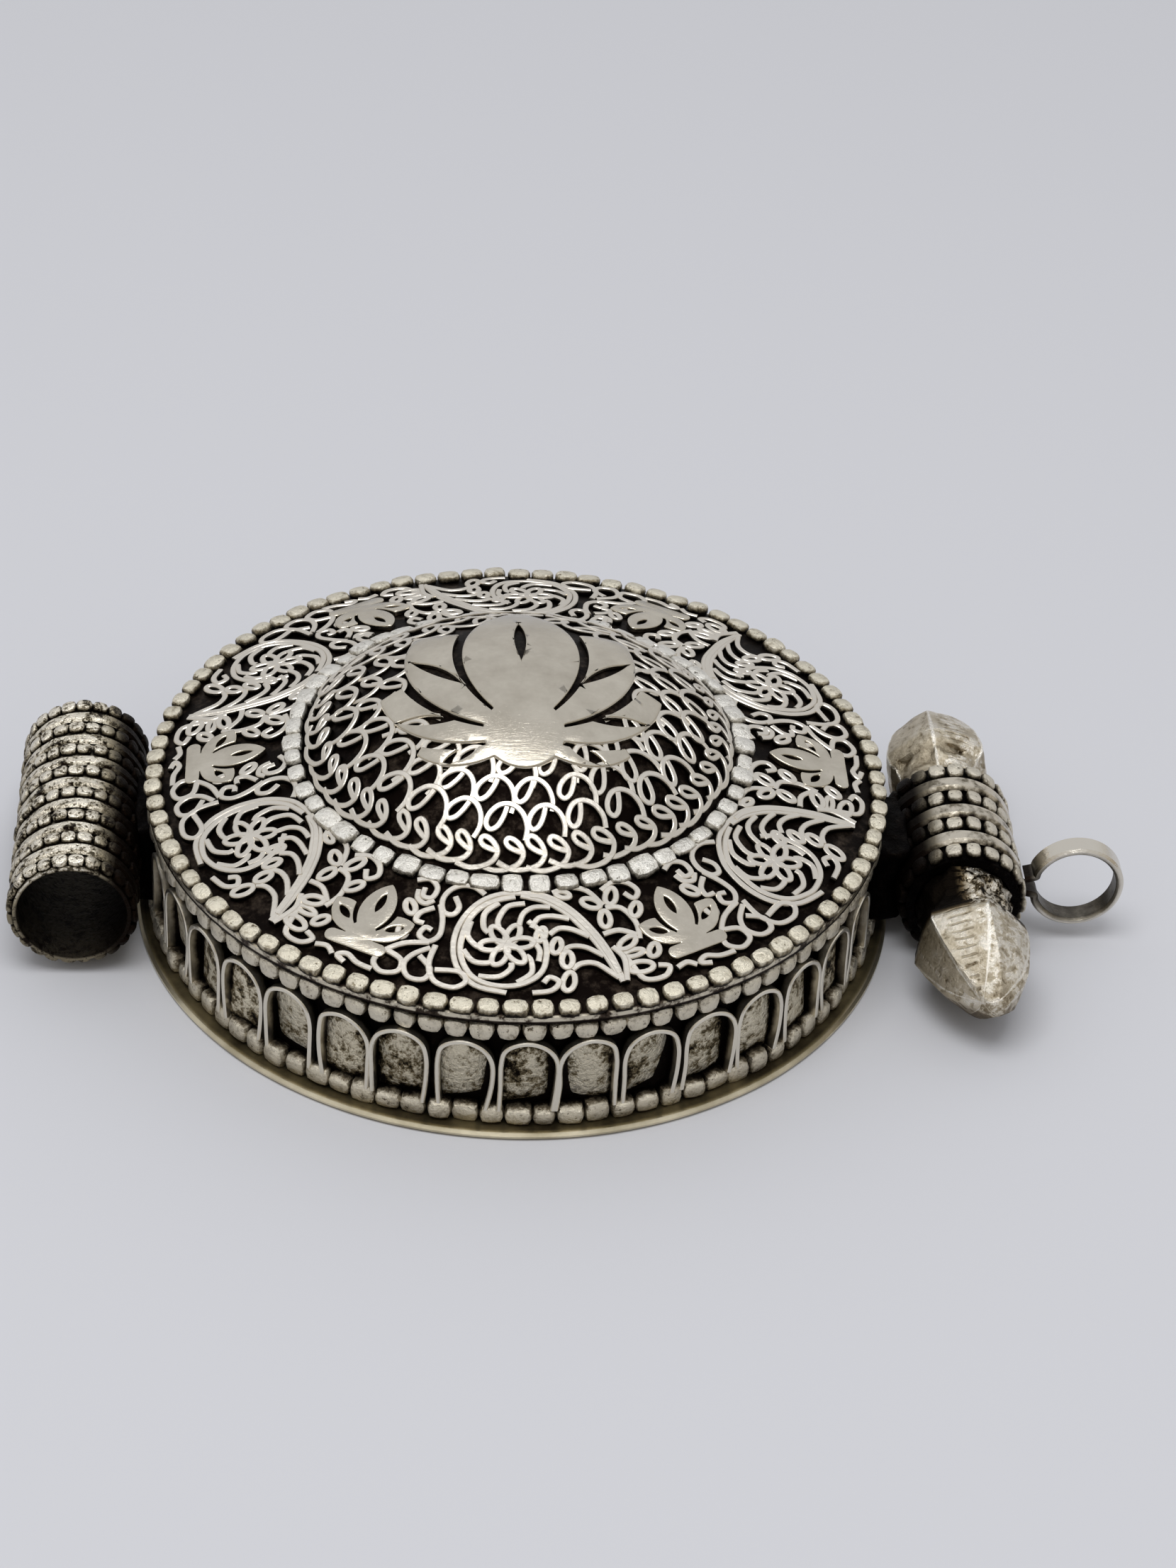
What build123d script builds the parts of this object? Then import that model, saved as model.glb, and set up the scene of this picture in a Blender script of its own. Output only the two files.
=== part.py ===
# Ghau amulet box: a round filigree pendant box with a pull-off back cover.
# X runs from the cord tube to the hanging ring, Y runs along the tube and the bar,
# Z points out of the front, and the back cover lies on Z = 0.
import os
from math import asin, atan2, cos, degrees, pi, sin, sqrt

from build123d import *

os.makedirs("parts", exist_ok=True)

# Sizes of the back cover, in millimetres, whose flange stands out past the wall
flange_width = 2.3
back_thick = 0.6
collar_height = 4.0
collar_thick = 0.6
slide_gap = 0.05
close_gap = 0.05

# Sizes of the box wall and its dressing
wall_thick = 0.7
solder_gap = 0.02
upper_bead_radius = 0.78
upper_bead_count = 93
lower_bead_radius = 0.72
lower_bead_count = 91
arch_count = 38
arch_spacing = 0.2
arch_strip = 0.45
arch_proud = 1.2
arch_clear = 0.1

# Sizes of the front plate: a sloping border round a spherical dome
rim_radius = 29.6
rim_overhang = 1.15
rim_height = 11.25
rim_drop = 0.25
sheet_thick = 0.6
border_width = 12.4
dome_foot = 14.6
dome_rise = 7.7
rim_bead_radius = 0.85
rim_bead_inset = 0.6
rim_bead_count = 90
border_bead_radius = 0.85
border_bead_gap = 0.3
border_bead_count = 54

# Sizes of the filigree on the sloping border
wire_width = 0.4
wire_height = 0.5
motif_pitch = 24.1
motif_start = -92.0
rosette_radius = 4.4
flower_petals = 6
flower_radius = 1.9
petal_half_width = 0.55
scroll_count = 10
scroll_bow = 0.6
plate_turn = 2.0
plate_foot = 2.0
plate_hub = 1.2
plate_middle_petal = 5.2
plate_middle_belly = 1.35
plate_side_lean = 54.0
plate_side_petal = 4.2
plate_side_belly = 1.25
plate_cut = 0.4
plate_vein = 0.28
plate_bar_width = 5.2
plate_bar_height = 1.2
plate_bar_drop = 0.85
curl_radius = 1.15
curl_step = 3.0

# Sizes of the filigree on the dome
scale_radius = 1.1
scale_gap = 0.25
scale_rows = 3
scale_row_step = 2.35
emblem_thick = 0.45
emblem_gap = 0.25
emblem_hub = 3.2
emblem_hub_inset = 1.25
emblem_cut = 0.7
emblem_vein = 0.45
petal_plump = 0.26
middle_petal_inset = 0.85
high_petal_lean = 31.0
high_petal_inset = 0.95
side_petal_lean = 62.0
side_petal_inset = 0.45
low_petal_lean = 96.0
low_petal_inset = 0.05
vein_share = 0.36
vein_place = 0.62

# Sizes of the cord tube, in the order bore, wall, wire rings
tube_bore = 4.35
tube_wall = 0.3
tube_length = 22.0
tube_height = 6.0
tube_stand_off = 0.25
tube_bead_radius = 0.58
tube_bead_count = 24
tube_ring_count = 15
tube_wire_radius = 0.62
tube_wire_sink = 0.1

# Sizes of the ornamental bar and its hanging ring
bar_radius = 4.6
bar_wall = 0.7
bar_length = 12.4
bar_height = 5.4
bar_shift = -2.2
bar_stand_off = 0.79
bar_bead_radius = 0.64
bar_bead_count = 20
bar_bead_rings = 4
bar_band_radius = 0.85
bar_band_sink = 0.25
finial_tenon = 1.6
finial_neck_radius = 4.0
finial_neck_length = 2.2
finial_radius = 4.7
finial_shoulder = 3.4
finial_taper = 7.1
finial_belly = 0.6
finial_belly_radius = 3.55
finial_tip_radius = 0.7
finial_sides = 6
finial_turn = 19.0
near_tip_shift = 0.7
far_tip_shift = 0.0
ring_radius = 3.85
ring_band = 0.65
ring_width = 1.9
ring_foot = 0.43
ring_foot_height = 1.6
ring_shift = -3.0
saddle_width = 8.0

# Heights and radii that follow from the sizes above
wall_foot = back_thick + close_gap
wall_radius = rim_radius - rim_overhang
wall_bore = wall_radius - wall_thick
back_radius = wall_radius + flange_width
dome_radius = rim_radius - border_width
collar_radius = wall_bore - slide_gap
slope = (dome_foot - rim_height) / (rim_radius - dome_radius)
slope_cos = 1 / sqrt(1 + slope**2)
slope_sin = slope * slope_cos
dome_ball = (dome_radius**2 + dome_rise**2) / (2 * dome_rise)
dome_centre = dome_foot + dome_rise - dome_ball
upper_bead_z = rim_height - sheet_thick - rim_drop - upper_bead_radius
lower_bead_z = wall_foot + lower_bead_radius
arch_foot = lower_bead_z + lower_bead_radius + solder_gap
arch_top = upper_bead_z - upper_bead_radius - arch_clear
arch_width = 2 * pi * wall_radius / arch_count - arch_spacing
band_radius = (rim_radius - rim_bead_inset + dome_radius) / 2
motif_count = int(2 * pi * band_radius / motif_pitch)
tube_outer = tube_bore + tube_wall
tube_reach = tube_outer + tube_bead_radius + solder_gap
tube_x = -(wall_radius + arch_proud + tube_stand_off + tube_reach)
bar_reach = bar_radius + bar_bead_radius + solder_gap
bar_x = wall_radius + arch_proud + bar_stand_off + bar_reach
on_seat = (Align.CENTER, Align.CENTER, Align.MIN)


def border_z(radius):
    """Height of the sloping border's top face at a distance from the axis."""
    return rim_height + (rim_radius - radius) * slope


def border_plane(radius, angle):
    """Plane lying on the sloping border, with its Y axis pointing up the slope."""
    across = (-sin(angle), cos(angle), 0)
    normal = (slope_sin * cos(angle), slope_sin * sin(angle), slope_cos)
    foot = (radius * cos(angle), radius * sin(angle), border_z(radius))
    return Plane(origin=foot, x_dir=across, z_dir=normal).offset(solder_gap)


def dome_plane(tilt, angle):
    """Plane touching the dome, tilted from the axis, with its Y axis pointing up the dome."""
    normal = (sin(tilt) * cos(angle), sin(tilt) * sin(angle), cos(tilt))
    ball = dome_ball + solder_gap
    touch = (ball * normal[0], ball * normal[1], dome_centre + ball * normal[2])
    return Plane(origin=touch, x_dir=(-sin(angle), cos(angle), 0), z_dir=normal)


def wall_plane(angle, radius):
    """Upright plane facing outwards at a distance from the axis, with its Y axis along Z."""
    outward = (cos(angle), sin(angle), 0)
    foot = (radius * outward[0], radius * outward[1], 0)
    return Plane(origin=foot, x_dir=(-outward[1], outward[0], 0), z_dir=outward)


def along_y(x, y, z):
    """Plane across the Y axis, for the pieces that are turned about the tube or the bar."""
    return Plane(origin=(x, y, z), x_dir=(1, 0, 0), z_dir=(0, 1, 0))


def petal(length, belly):
    """Flat almond-shaped petal that stands on the origin and points along Y."""
    with BuildSketch() as almond:
        with BuildLine():
            ThreePointArc((0, 0), (belly, length / 2), (0, length))
            ThreePointArc((0, length), (-belly, length / 2), (0, 0))
        make_face()
    return almond.sketch


def petal_edge(lean, length, belly, reach):
    """Direction in degrees of a leaning petal's outer edge at a distance from its foot."""
    bow = (length**2 / 4 + belly**2) / belly
    return lean + degrees(asin(length / bow) - asin(reach / bow))


def lotus(petals, hub, cut, vein):
    """Flat lotus with its foot on the origin, its petals listed from the middle one outwards.

    Each petal lies over the next, with a cut sawn along its edge and a vein sawn in its middle."""
    with BuildSketch() as flower:
        Circle(hub)
        for lean, length, belly in reversed(petals):
            with Locations(Location((0, 0), lean), Location((0, 0), -lean)):
                add(petal(length + cut, belly + cut), mode=Mode.SUBTRACT)
                add(petal(length, belly))
        Circle(hub)
        turn = 0
        for order, (lean, length, belly) in enumerate(petals):
            middle = vein_place * length
            if order > 0:
                under = petal_edge(*petals[order - 1], middle)
                turn = (under + petal_edge(lean, length, belly, middle)) / 2
            with Locations(Location((0, 0), turn), Location((0, 0), -turn)):
                with Locations((0, middle - vein_share * length / 2)):
                    add(petal(vein_share * length, vein), mode=Mode.SUBTRACT)
    return flower.sketch


def ring_centres(length, count):
    """Evenly spaced places of a row of rings, measured from the middle of its length."""
    pitch = length / count
    return [(index + 0.5) * pitch - length / 2 for index in range(count)]


def bead_seats(axis, radius, places, count):
    """Planes facing outwards round an axis along Y, one for each bead of each beaded ring."""
    seats = []
    for place in places:
        for index in range(count):
            turn = 2 * pi * index / count
            outward = Vector(cos(turn), 0, sin(turn))
            middle = axis.position + Vector(0, place, 0)
            seats.append(Plane(origin=middle + outward * radius, x_dir=(0, 1, 0), z_dir=outward))
    return seats


def keep(piece, name):
    """Label one finished piece and write it to its own file."""
    piece.part.label = name
    export_step(piece.part, f"parts/{name}.step")


# Back cover: a flat disc whose edge shows as a flange round the box
with BuildPart() as back_plate:
    Cylinder(back_radius, back_thick, align=on_seat)
keep(back_plate, "back_plate")

# Collar soldered inside the back plate, which slides into the wall with a light fit
with BuildPart() as back_collar:
    with BuildSketch(Plane.XY.offset(back_thick + solder_gap)):
        Circle(collar_radius)
        Circle(collar_radius - collar_thick, mode=Mode.SUBTRACT)
    extrude(amount=collar_height)
keep(back_collar, "back_collar")

# Box wall: a rolled strip whose top edge is cut to the slope of the front plate
with BuildPart() as side_wall:
    with BuildSketch(Plane.XZ):
        with BuildLine():
            under = sheet_thick + solder_gap
            Polyline(
                (wall_bore, wall_foot),
                (wall_radius, wall_foot),
                (wall_radius, border_z(wall_radius) - under),
                (wall_bore, border_z(wall_bore) - under),
                close=True,
            )
        make_face()
    revolve(axis=Axis.Z)
keep(side_wall, "side_wall")

# Front plate: one sheet, sloping up from the rim and raised to a dome in the middle
with BuildPart() as front_plate:
    with BuildSketch(Plane.XZ):
        with BuildLine():
            inner_ball = dome_ball - sheet_thick
            inner_foot = dome_foot - sheet_thick
            inner_radius = sqrt(inner_ball**2 - (inner_foot - dome_centre) ** 2)
            outer_start = degrees(atan2(dome_foot - dome_centre, dome_radius))
            inner_start = degrees(atan2(inner_foot - dome_centre, inner_radius))
            crown_angle = 90
            Line((rim_radius, rim_height), (dome_radius, dome_foot))
            CenterArc((0, dome_centre), dome_ball, outer_start, crown_angle - outer_start)
            Line((0, dome_foot + dome_rise), (0, dome_foot + dome_rise - sheet_thick))
            CenterArc((0, dome_centre), inner_ball, inner_start, crown_angle - inner_start)
            Line((inner_radius, inner_foot), (dome_radius, inner_foot))
            Line((dome_radius, inner_foot), (rim_radius, rim_height - sheet_thick))
            Line((rim_radius, rim_height - sheet_thick), (rim_radius, rim_height))
        make_face()
    revolve(axis=Axis.Z)
keep(front_plate, "front_plate")

# Row of shot beads soldered along the rim of the front plate
rim_bead_row = rim_radius - rim_bead_inset
rim_bead_z = border_z(rim_bead_row) + rim_bead_radius / slope_cos + solder_gap
with BuildPart(Plane.XY.offset(rim_bead_z)) as front_rim_beads:
    with PolarLocations(rim_bead_row, rim_bead_count):
        Sphere(rim_bead_radius)
keep(front_rim_beads, "front_rim_beads")

# Row of shot beads lying in the valley between the border and the dome
bead_lift = (border_bead_radius + solder_gap) / slope_cos
valley = dome_foot + dome_radius * slope + bead_lift - dome_centre
valley_reach = dome_ball + border_bead_radius + solder_gap
valley_root = sqrt((slope * valley) ** 2 - (1 + slope**2) * (valley**2 - valley_reach**2))
border_bead_row = (slope * valley + valley_root) / (1 + slope**2) + border_bead_gap
border_bead_z = border_z(border_bead_row) + bead_lift
with BuildPart(Plane.XY.offset(border_bead_z)) as dome_border_beads:
    with PolarLocations(border_bead_row, border_bead_count):
        Sphere(border_bead_radius)
keep(dome_border_beads, "dome_border_beads")

# Upper and lower rows of shot beads soldered round the wall
with BuildPart(Plane.XY.offset(upper_bead_z)) as wall_upper_beads:
    with PolarLocations(wall_radius + upper_bead_radius + solder_gap, upper_bead_count):
        Sphere(upper_bead_radius)
keep(wall_upper_beads, "wall_upper_beads")
with BuildPart(Plane.XY.offset(lower_bead_z)) as wall_lower_beads:
    with PolarLocations(wall_radius + lower_bead_radius + solder_gap, lower_bead_count):
        Sphere(lower_bead_radius)
keep(wall_lower_beads, "wall_lower_beads")

# Arcade of bent strips standing on edge round the wall, left out behind the saddles
saddle_room = (saddle_width + arch_width) / 2 + arch_spacing
arch_planes = []
for index in range(arch_count):
    arch_angle = 2 * pi * index / arch_count - pi / 2
    saddle_y = bar_shift if cos(arch_angle) > 0 else 0
    if abs(wall_radius * sin(arch_angle) - saddle_y) > saddle_room:
        arch_planes.append(wall_plane(arch_angle, wall_bore))
arch_crown = arch_top - arch_width / 2
arch_leg = arch_crown - arch_foot
with BuildPart() as wall_arches:
    with BuildSketch(*arch_planes):
        with Locations((0, arch_crown)):
            Circle(arch_width / 2)
        with Locations((0, arch_crown - arch_leg / 2)):
            Rectangle(arch_width, arch_leg)
        with Locations((0, arch_crown)):
            Circle(arch_width / 2 - arch_strip, mode=Mode.SUBTRACT)
        with Locations((0, arch_crown - arch_leg / 2)):
            Rectangle(arch_width - 2 * arch_strip, arch_leg, mode=Mode.SUBTRACT)
    extrude(amount=wall_thick + arch_proud)
    with Locations((0, 0, (arch_top + arch_foot) / 2)):
        Cylinder(wall_radius + solder_gap, arch_top - arch_foot + wall_thick, mode=Mode.SUBTRACT)
keep(wall_arches, "wall_arches")

# Six filigree wheels on the border: a rim wire, bowed scrolls and a flower of wire petals
scroll_inner = flower_radius - wire_width / 2
scroll_outer = rosette_radius - wire_width / 2
scroll_middle = (scroll_inner + scroll_outer) / 2
bow = ThreePointArc((scroll_inner, 0), (scroll_middle, scroll_bow), (scroll_outer, 0))
for index in range(motif_count):
    motif_angle = (motif_start + 360 / motif_count * index) * pi / 180
    with BuildPart() as rosette:
        with BuildSketch(border_plane(band_radius, motif_angle)):
            Circle(rosette_radius)
            Circle(rosette_radius - wire_width, mode=Mode.SUBTRACT)
            with PolarLocations(0, scroll_count):
                SlotArc(bow, wire_width)
            with PolarLocations(flower_radius / 2, flower_petals):
                Ellipse(flower_radius / 2, petal_half_width)
            with PolarLocations(flower_radius / 2, flower_petals):
                Ellipse(flower_radius / 2 - wire_width, petal_half_width - wire_width, mode=Mode.SUBTRACT)
        extrude(amount=wire_height)
    keep(rosette, f"rosette_{index + 1}")

# Six cut-sheet lotus plates on the border between the wheels: three petals over a foot bar
plate_petals = [
    (0.0, plate_middle_petal, plate_middle_belly),
    (plate_side_lean, plate_side_petal, plate_side_belly),
]
plate_lotus = lotus(plate_petals, plate_hub, plate_cut, plate_vein)
for index in range(motif_count):
    motif_angle = (motif_start + plate_turn + 360 / motif_count * (index + 0.5)) * pi / 180
    with BuildPart() as ornament_plate:
        with BuildSketch(border_plane(band_radius, motif_angle)):
            with Locations((0, -plate_foot)):
                add(plate_lotus)
            with Locations((0, -plate_foot - plate_bar_drop)):
                SlotOverall(plate_bar_width, plate_bar_height)
        extrude(amount=wire_height)
    keep(ornament_plate, f"ornament_plate_{index + 1}")

# Wire curls filling the spaces between the wheels and the plates
curl_planes = []
for index in range(2 * motif_count):
    curl_angle = (motif_start + 180 / motif_count * (index + 0.5)) * pi / 180
    for step in (-1, 0, 1):
        curl_planes.append(border_plane(band_radius + step * curl_step * slope_cos, curl_angle))
with BuildPart() as border_curls:
    with BuildSketch(*curl_planes):
        Circle(curl_radius)
        Circle(curl_radius - wire_width, mode=Mode.SUBTRACT)
    extrude(amount=wire_height)
keep(border_curls, "border_curls")

# Rows of wire scales climbing the dome, each a half round with its open side upwards
border_bead_tilt = atan2(border_bead_row, border_bead_z - dome_centre)
scale_first = border_bead_tilt - (border_bead_radius + scale_gap + scale_radius) / dome_ball
for row in range(scale_rows):
    tilt = scale_first - row * scale_row_step / dome_ball
    row_length = 2 * pi * dome_ball * sin(tilt)
    scale_count = int(row_length / (2 * scale_radius + scale_gap))
    turn = 2 * pi / scale_count
    planes = [dome_plane(tilt, (index + 0.5 * (row % 2)) * turn) for index in range(scale_count)]
    with BuildPart() as scales:
        with BuildSketch(*planes):
            Circle(scale_radius)
            Circle(scale_radius - wire_width, mode=Mode.SUBTRACT)
            with Locations((0, scale_radius)):
                Rectangle(3 * scale_radius, 2 * scale_radius, mode=Mode.SUBTRACT)
        extrude(amount=wire_height)
    keep(scales, f"dome_scales_{row + 1}")

# Polished lotus in sheet metal on the crown of the dome, sawn between and along its petals.
# It fills the field inside the last row of scales: each petal stops a little inside its edge,
# and is plump enough to overlap its neighbours.
scale_last = scale_first - (scale_rows - 1) * scale_row_step / dome_ball
emblem_field = dome_ball * sin(scale_last) - emblem_gap
emblem_base = emblem_field - emblem_hub_inset - emblem_hub
petal_leans = [
    (0.0, middle_petal_inset),
    (high_petal_lean, high_petal_inset),
    (side_petal_lean, side_petal_inset),
    (low_petal_lean, low_petal_inset),
]
emblem_petals = []
for lean, inset in petal_leans:
    rise = emblem_base * cos(lean * pi / 180)
    drift = emblem_base * sin(lean * pi / 180)
    length = rise + sqrt((emblem_field - inset) ** 2 - drift**2)
    emblem_petals.append((lean, length, petal_plump * length))
emblem_lotus = lotus(emblem_petals, emblem_hub, emblem_cut, emblem_vein)
with BuildPart() as dome_emblem:
    with BuildSketch(Plane.XY.offset(dome_foot)):
        with Locations((0, -emblem_base)):
            add(emblem_lotus)
    extrude(amount=dome_rise + emblem_thick)
    with Locations((0, 0, dome_centre)):
        Sphere(dome_ball + solder_gap + emblem_thick, mode=Mode.INTERSECT)
        Sphere(dome_ball + solder_gap, mode=Mode.SUBTRACT)
keep(dome_emblem, "dome_emblem")

# Cord tube: a thin tube open at both ends
with BuildPart() as cord_tube:
    with BuildSketch(along_y(tube_x, -tube_length / 2, tube_height)):
        Circle(tube_outer)
        Circle(tube_bore, mode=Mode.SUBTRACT)
    extrude(amount=tube_length)
keep(cord_tube, "cord_tube")

# Rings of beaded wire and of plain wire in turn along the cord tube
tube_rings = ring_centres(tube_length, tube_ring_count)
tube_axis = Axis((tube_x, 0, tube_height), (0, 1, 0))
tube_seat = tube_outer + solder_gap
with BuildPart() as tube_bead_rings:
    with Locations(*bead_seats(tube_axis, tube_seat, tube_rings[0::2], tube_bead_count)):
        Sphere(tube_bead_radius, arc_size1=0, align=on_seat)
keep(tube_bead_rings, "tube_bead_rings")
with BuildPart() as tube_plain_rings:
    with BuildSketch(Plane(origin=tube_axis.position, x_dir=(1, 0, 0), z_dir=(0, 0, 1))):
        with Locations(*[(tube_seat - tube_wire_sink, place) for place in tube_rings[1::2]]):
            Circle(tube_wire_radius)
        with Locations((tube_seat / 2, 0)):
            Rectangle(tube_seat, tube_length, mode=Mode.SUBTRACT)
    revolve(axis=tube_axis)
keep(tube_plain_rings, "tube_plain_rings")

# Saddle block that joins the cord tube to the wall
saddle_height = arch_top - arch_foot
saddle_middle = (arch_top + arch_foot) / 2
with BuildPart() as tube_saddle:
    with Locations((-(wall_radius - tube_x) / 2, 0, saddle_middle)):
        Box(-tube_x - wall_radius + 2 * wall_thick, saddle_width, saddle_height)
    with Locations((0, 0, saddle_middle)):
        Cylinder(wall_radius + solder_gap, 2 * saddle_height, mode=Mode.SUBTRACT)
    with Locations(along_y(tube_x, 0, tube_height)):
        Cylinder(tube_reach + solder_gap, 2 * saddle_width, mode=Mode.SUBTRACT)
keep(tube_saddle, "tube_saddle")

# Barrel of the ornamental bar: a short tube
with BuildPart() as bar_barrel:
    with BuildSketch(along_y(bar_x, bar_shift - bar_length / 2, bar_height)):
        Circle(bar_radius)
        Circle(bar_radius - bar_wall, mode=Mode.SUBTRACT)
    extrude(amount=bar_length)
keep(bar_barrel, "bar_barrel")

# Rings of beaded wire round the barrel with plain bands between them
bar_rings = ring_centres(bar_length, 2 * bar_bead_rings - 1)
bar_axis = Axis((bar_x, bar_shift, bar_height), (0, 1, 0))
bar_seat = bar_radius + solder_gap
with BuildPart() as bar_bead_wires:
    with Locations(*bead_seats(bar_axis, bar_seat, bar_rings[0::2], bar_bead_count)):
        Sphere(bar_bead_radius, arc_size1=0, align=on_seat)
keep(bar_bead_wires, "bar_bead_rings")
with BuildPart() as bar_plain_bands:
    with BuildSketch(Plane(origin=bar_axis.position, x_dir=(1, 0, 0), z_dir=(0, 0, 1))):
        with Locations(*[(bar_seat - bar_band_sink, place) for place in bar_rings[1::2]]):
            Circle(bar_band_radius)
        with Locations((bar_seat / 2, 0)):
            Rectangle(bar_seat, bar_length, mode=Mode.SUBTRACT)
    revolve(axis=bar_axis)
keep(bar_plain_bands, "bar_plain_bands")

# Cast bud finials, each with a tenon in the barrel, a neck and a faceted bud; the near one leans
tenon_radius = bar_radius - bar_wall - solder_gap
for name, side, tip_shift in (("finial_near", -1, near_tip_shift), ("finial_far", 1, far_tip_shift)):
    seat = along_y(bar_x, bar_shift + side * bar_length / 2, bar_height)
    outward = Plane(origin=seat.origin, x_dir=(1, 0, 0), z_dir=(0, side, 0))
    with BuildPart() as finial:
        with BuildSketch(outward.offset(-finial_tenon)):
            Circle(tenon_radius)
        extrude(amount=finial_tenon)
        with BuildSketch(outward):
            Circle(finial_neck_radius)
        extrude(amount=finial_neck_length)
        with BuildSketch(outward.offset(finial_neck_length)):
            RegularPolygon(finial_neck_radius, finial_sides, rotation=finial_turn)
        with BuildSketch(outward.offset(finial_neck_length + finial_shoulder)):
            RegularPolygon(finial_radius, finial_sides, rotation=finial_turn)
        with BuildSketch(outward.offset(finial_neck_length + finial_shoulder + finial_belly * finial_taper)):
            with Locations((finial_belly * tip_shift, 0)):
                RegularPolygon(finial_belly_radius, finial_sides, rotation=finial_turn)
        with BuildSketch(outward.offset(finial_neck_length + finial_shoulder + finial_taper)):
            with Locations((tip_shift, 0)):
                RegularPolygon(finial_tip_radius, finial_sides, rotation=finial_turn)
        loft(ruled=True)
    keep(finial, name)

# Hanging ring: a flat band bent to a loop, with its ends brought to a foot on the barrel
ring_x = bar_x + bar_reach + solder_gap + ring_foot + ring_radius
ring_y = bar_shift + ring_shift
with BuildPart() as hanging_ring:
    with BuildSketch(along_y(ring_x, ring_y - ring_width / 2, bar_height)):
        Circle(ring_radius)
        with Locations((-(ring_radius + ring_foot) / 2, 0)):
            Rectangle(ring_radius + ring_foot, ring_foot_height)
        Circle(ring_radius - ring_band, mode=Mode.SUBTRACT)
    extrude(amount=ring_width)
keep(hanging_ring, "hanging_ring")

# Saddle block that joins the bar to the wall
with BuildPart() as bar_saddle:
    with Locations(((wall_radius + bar_x) / 2, bar_shift, saddle_middle)):
        Box(bar_x - wall_radius + 2 * wall_thick, saddle_width, saddle_height)
    with Locations((0, 0, saddle_middle)):
        Cylinder(wall_radius + solder_gap, 2 * saddle_height, mode=Mode.SUBTRACT)
    with Locations(along_y(bar_x, bar_shift, bar_height)):
        Cylinder(bar_reach + solder_gap, 2 * saddle_width, mode=Mode.SUBTRACT)
keep(bar_saddle, "bar_saddle")
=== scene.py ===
from functools import partial
from math import asin, cos, pi, radians, sin, sqrt
from random import Random

import bmesh
import bpy
from mathutils import Matrix, Vector, noise


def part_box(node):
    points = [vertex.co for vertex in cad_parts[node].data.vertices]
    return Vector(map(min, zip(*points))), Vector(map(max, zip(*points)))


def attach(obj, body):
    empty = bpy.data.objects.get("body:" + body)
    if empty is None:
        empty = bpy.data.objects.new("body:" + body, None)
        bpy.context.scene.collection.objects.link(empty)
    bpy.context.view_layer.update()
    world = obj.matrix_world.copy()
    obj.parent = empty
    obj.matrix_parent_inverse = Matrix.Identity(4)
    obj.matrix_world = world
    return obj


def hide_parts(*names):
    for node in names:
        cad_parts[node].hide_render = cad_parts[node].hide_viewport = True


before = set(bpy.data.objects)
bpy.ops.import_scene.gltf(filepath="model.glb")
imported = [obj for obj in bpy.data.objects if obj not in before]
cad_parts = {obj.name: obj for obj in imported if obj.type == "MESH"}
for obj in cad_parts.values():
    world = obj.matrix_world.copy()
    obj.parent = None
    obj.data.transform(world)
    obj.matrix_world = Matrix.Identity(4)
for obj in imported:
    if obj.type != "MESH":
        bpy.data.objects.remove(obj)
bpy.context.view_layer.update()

# Camera: in front of the box, a little to the left and well above it, and rolled a little.
# The offset is the lens seen from the middle of the back cover, in the camera's own axes.
MM = 0.001
view_azimuth = radians(-4.4)
view_elevation = radians(36.655)
view_roll = radians(3.042)
view_offset = Vector((6.174, 8.734, 320.381)) * MM
view_turn = Matrix.Rotation(view_azimuth, 3, "Z") @ Matrix.Rotation(pi / 2 - view_elevation, 3, "X")
view_turn = view_turn @ Matrix.Rotation(view_roll, 3, "Z")
camera = bpy.data.objects.new("camera", bpy.data.cameras.new("camera"))
camera.data.lens = 89.5
camera.data.sensor_width = 36
camera.matrix_world = Matrix.Translation(view_turn @ view_offset) @ view_turn.to_4x4()
bpy.context.scene.collection.objects.link(camera)
bpy.context.scene.camera = camera

# Back cover: a disc of sheet brass cut by hand, whose edge shows as a flange under the box,
# with a collar soldered to its inside that slides into the wall.


def colour(hex_code):
    """Linear colour with full alpha from an sRGB hex value."""
    parts = [int(hex_code[place:place + 2], 16) / 255 for place in (1, 3, 5)]
    return [part / 12.92 if part <= 0.04045 else ((part + 0.055) / 1.055) ** 2.4 for part in parts] + [1]


def add_node(tree, kind, *inputs, out=0, **named):
    """Add a node with its settings and links, and return one of its outputs.

    A shader node's kind goes without its prefix, and a mode may follow it, as in "Math ADD". Each
    input is a value or another node's output, given in order or by its name, which has a capital.
    A name without a capital is a setting."""
    kind, *mode = kind.split()
    node = tree.nodes.new(kind if "Node" in kind else "ShaderNode" + kind)
    if mode:
        setattr(node, "interpolation_type" if kind == "MapRange" else "operation", mode[0])
    sockets = dict(enumerate(inputs))
    for name, value in named.items():
        if name[0].isupper():
            sockets[name.replace("_", " ")] = value
        else:
            setattr(node, name, value)
    for name, value in sockets.items():
        if isinstance(value, bpy.types.NodeSocket):
            tree.links.new(value, node.inputs[name])
        else:
            node.inputs[name].default_value = value
    return node.outputs[out] if node.outputs else node


def start_metal(name):
    """A new metal material, with what adds its nodes, its shader and the piece's own coordinates."""
    material = bpy.data.materials.new(name)
    material.use_nodes = True
    add = partial(add_node, material.node_tree)
    shader = material.node_tree.nodes["Principled BSDF"]
    shader.inputs["Metallic"].default_value = 1.0
    return material, add, shader, add("TexCoord", out="Object")


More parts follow.
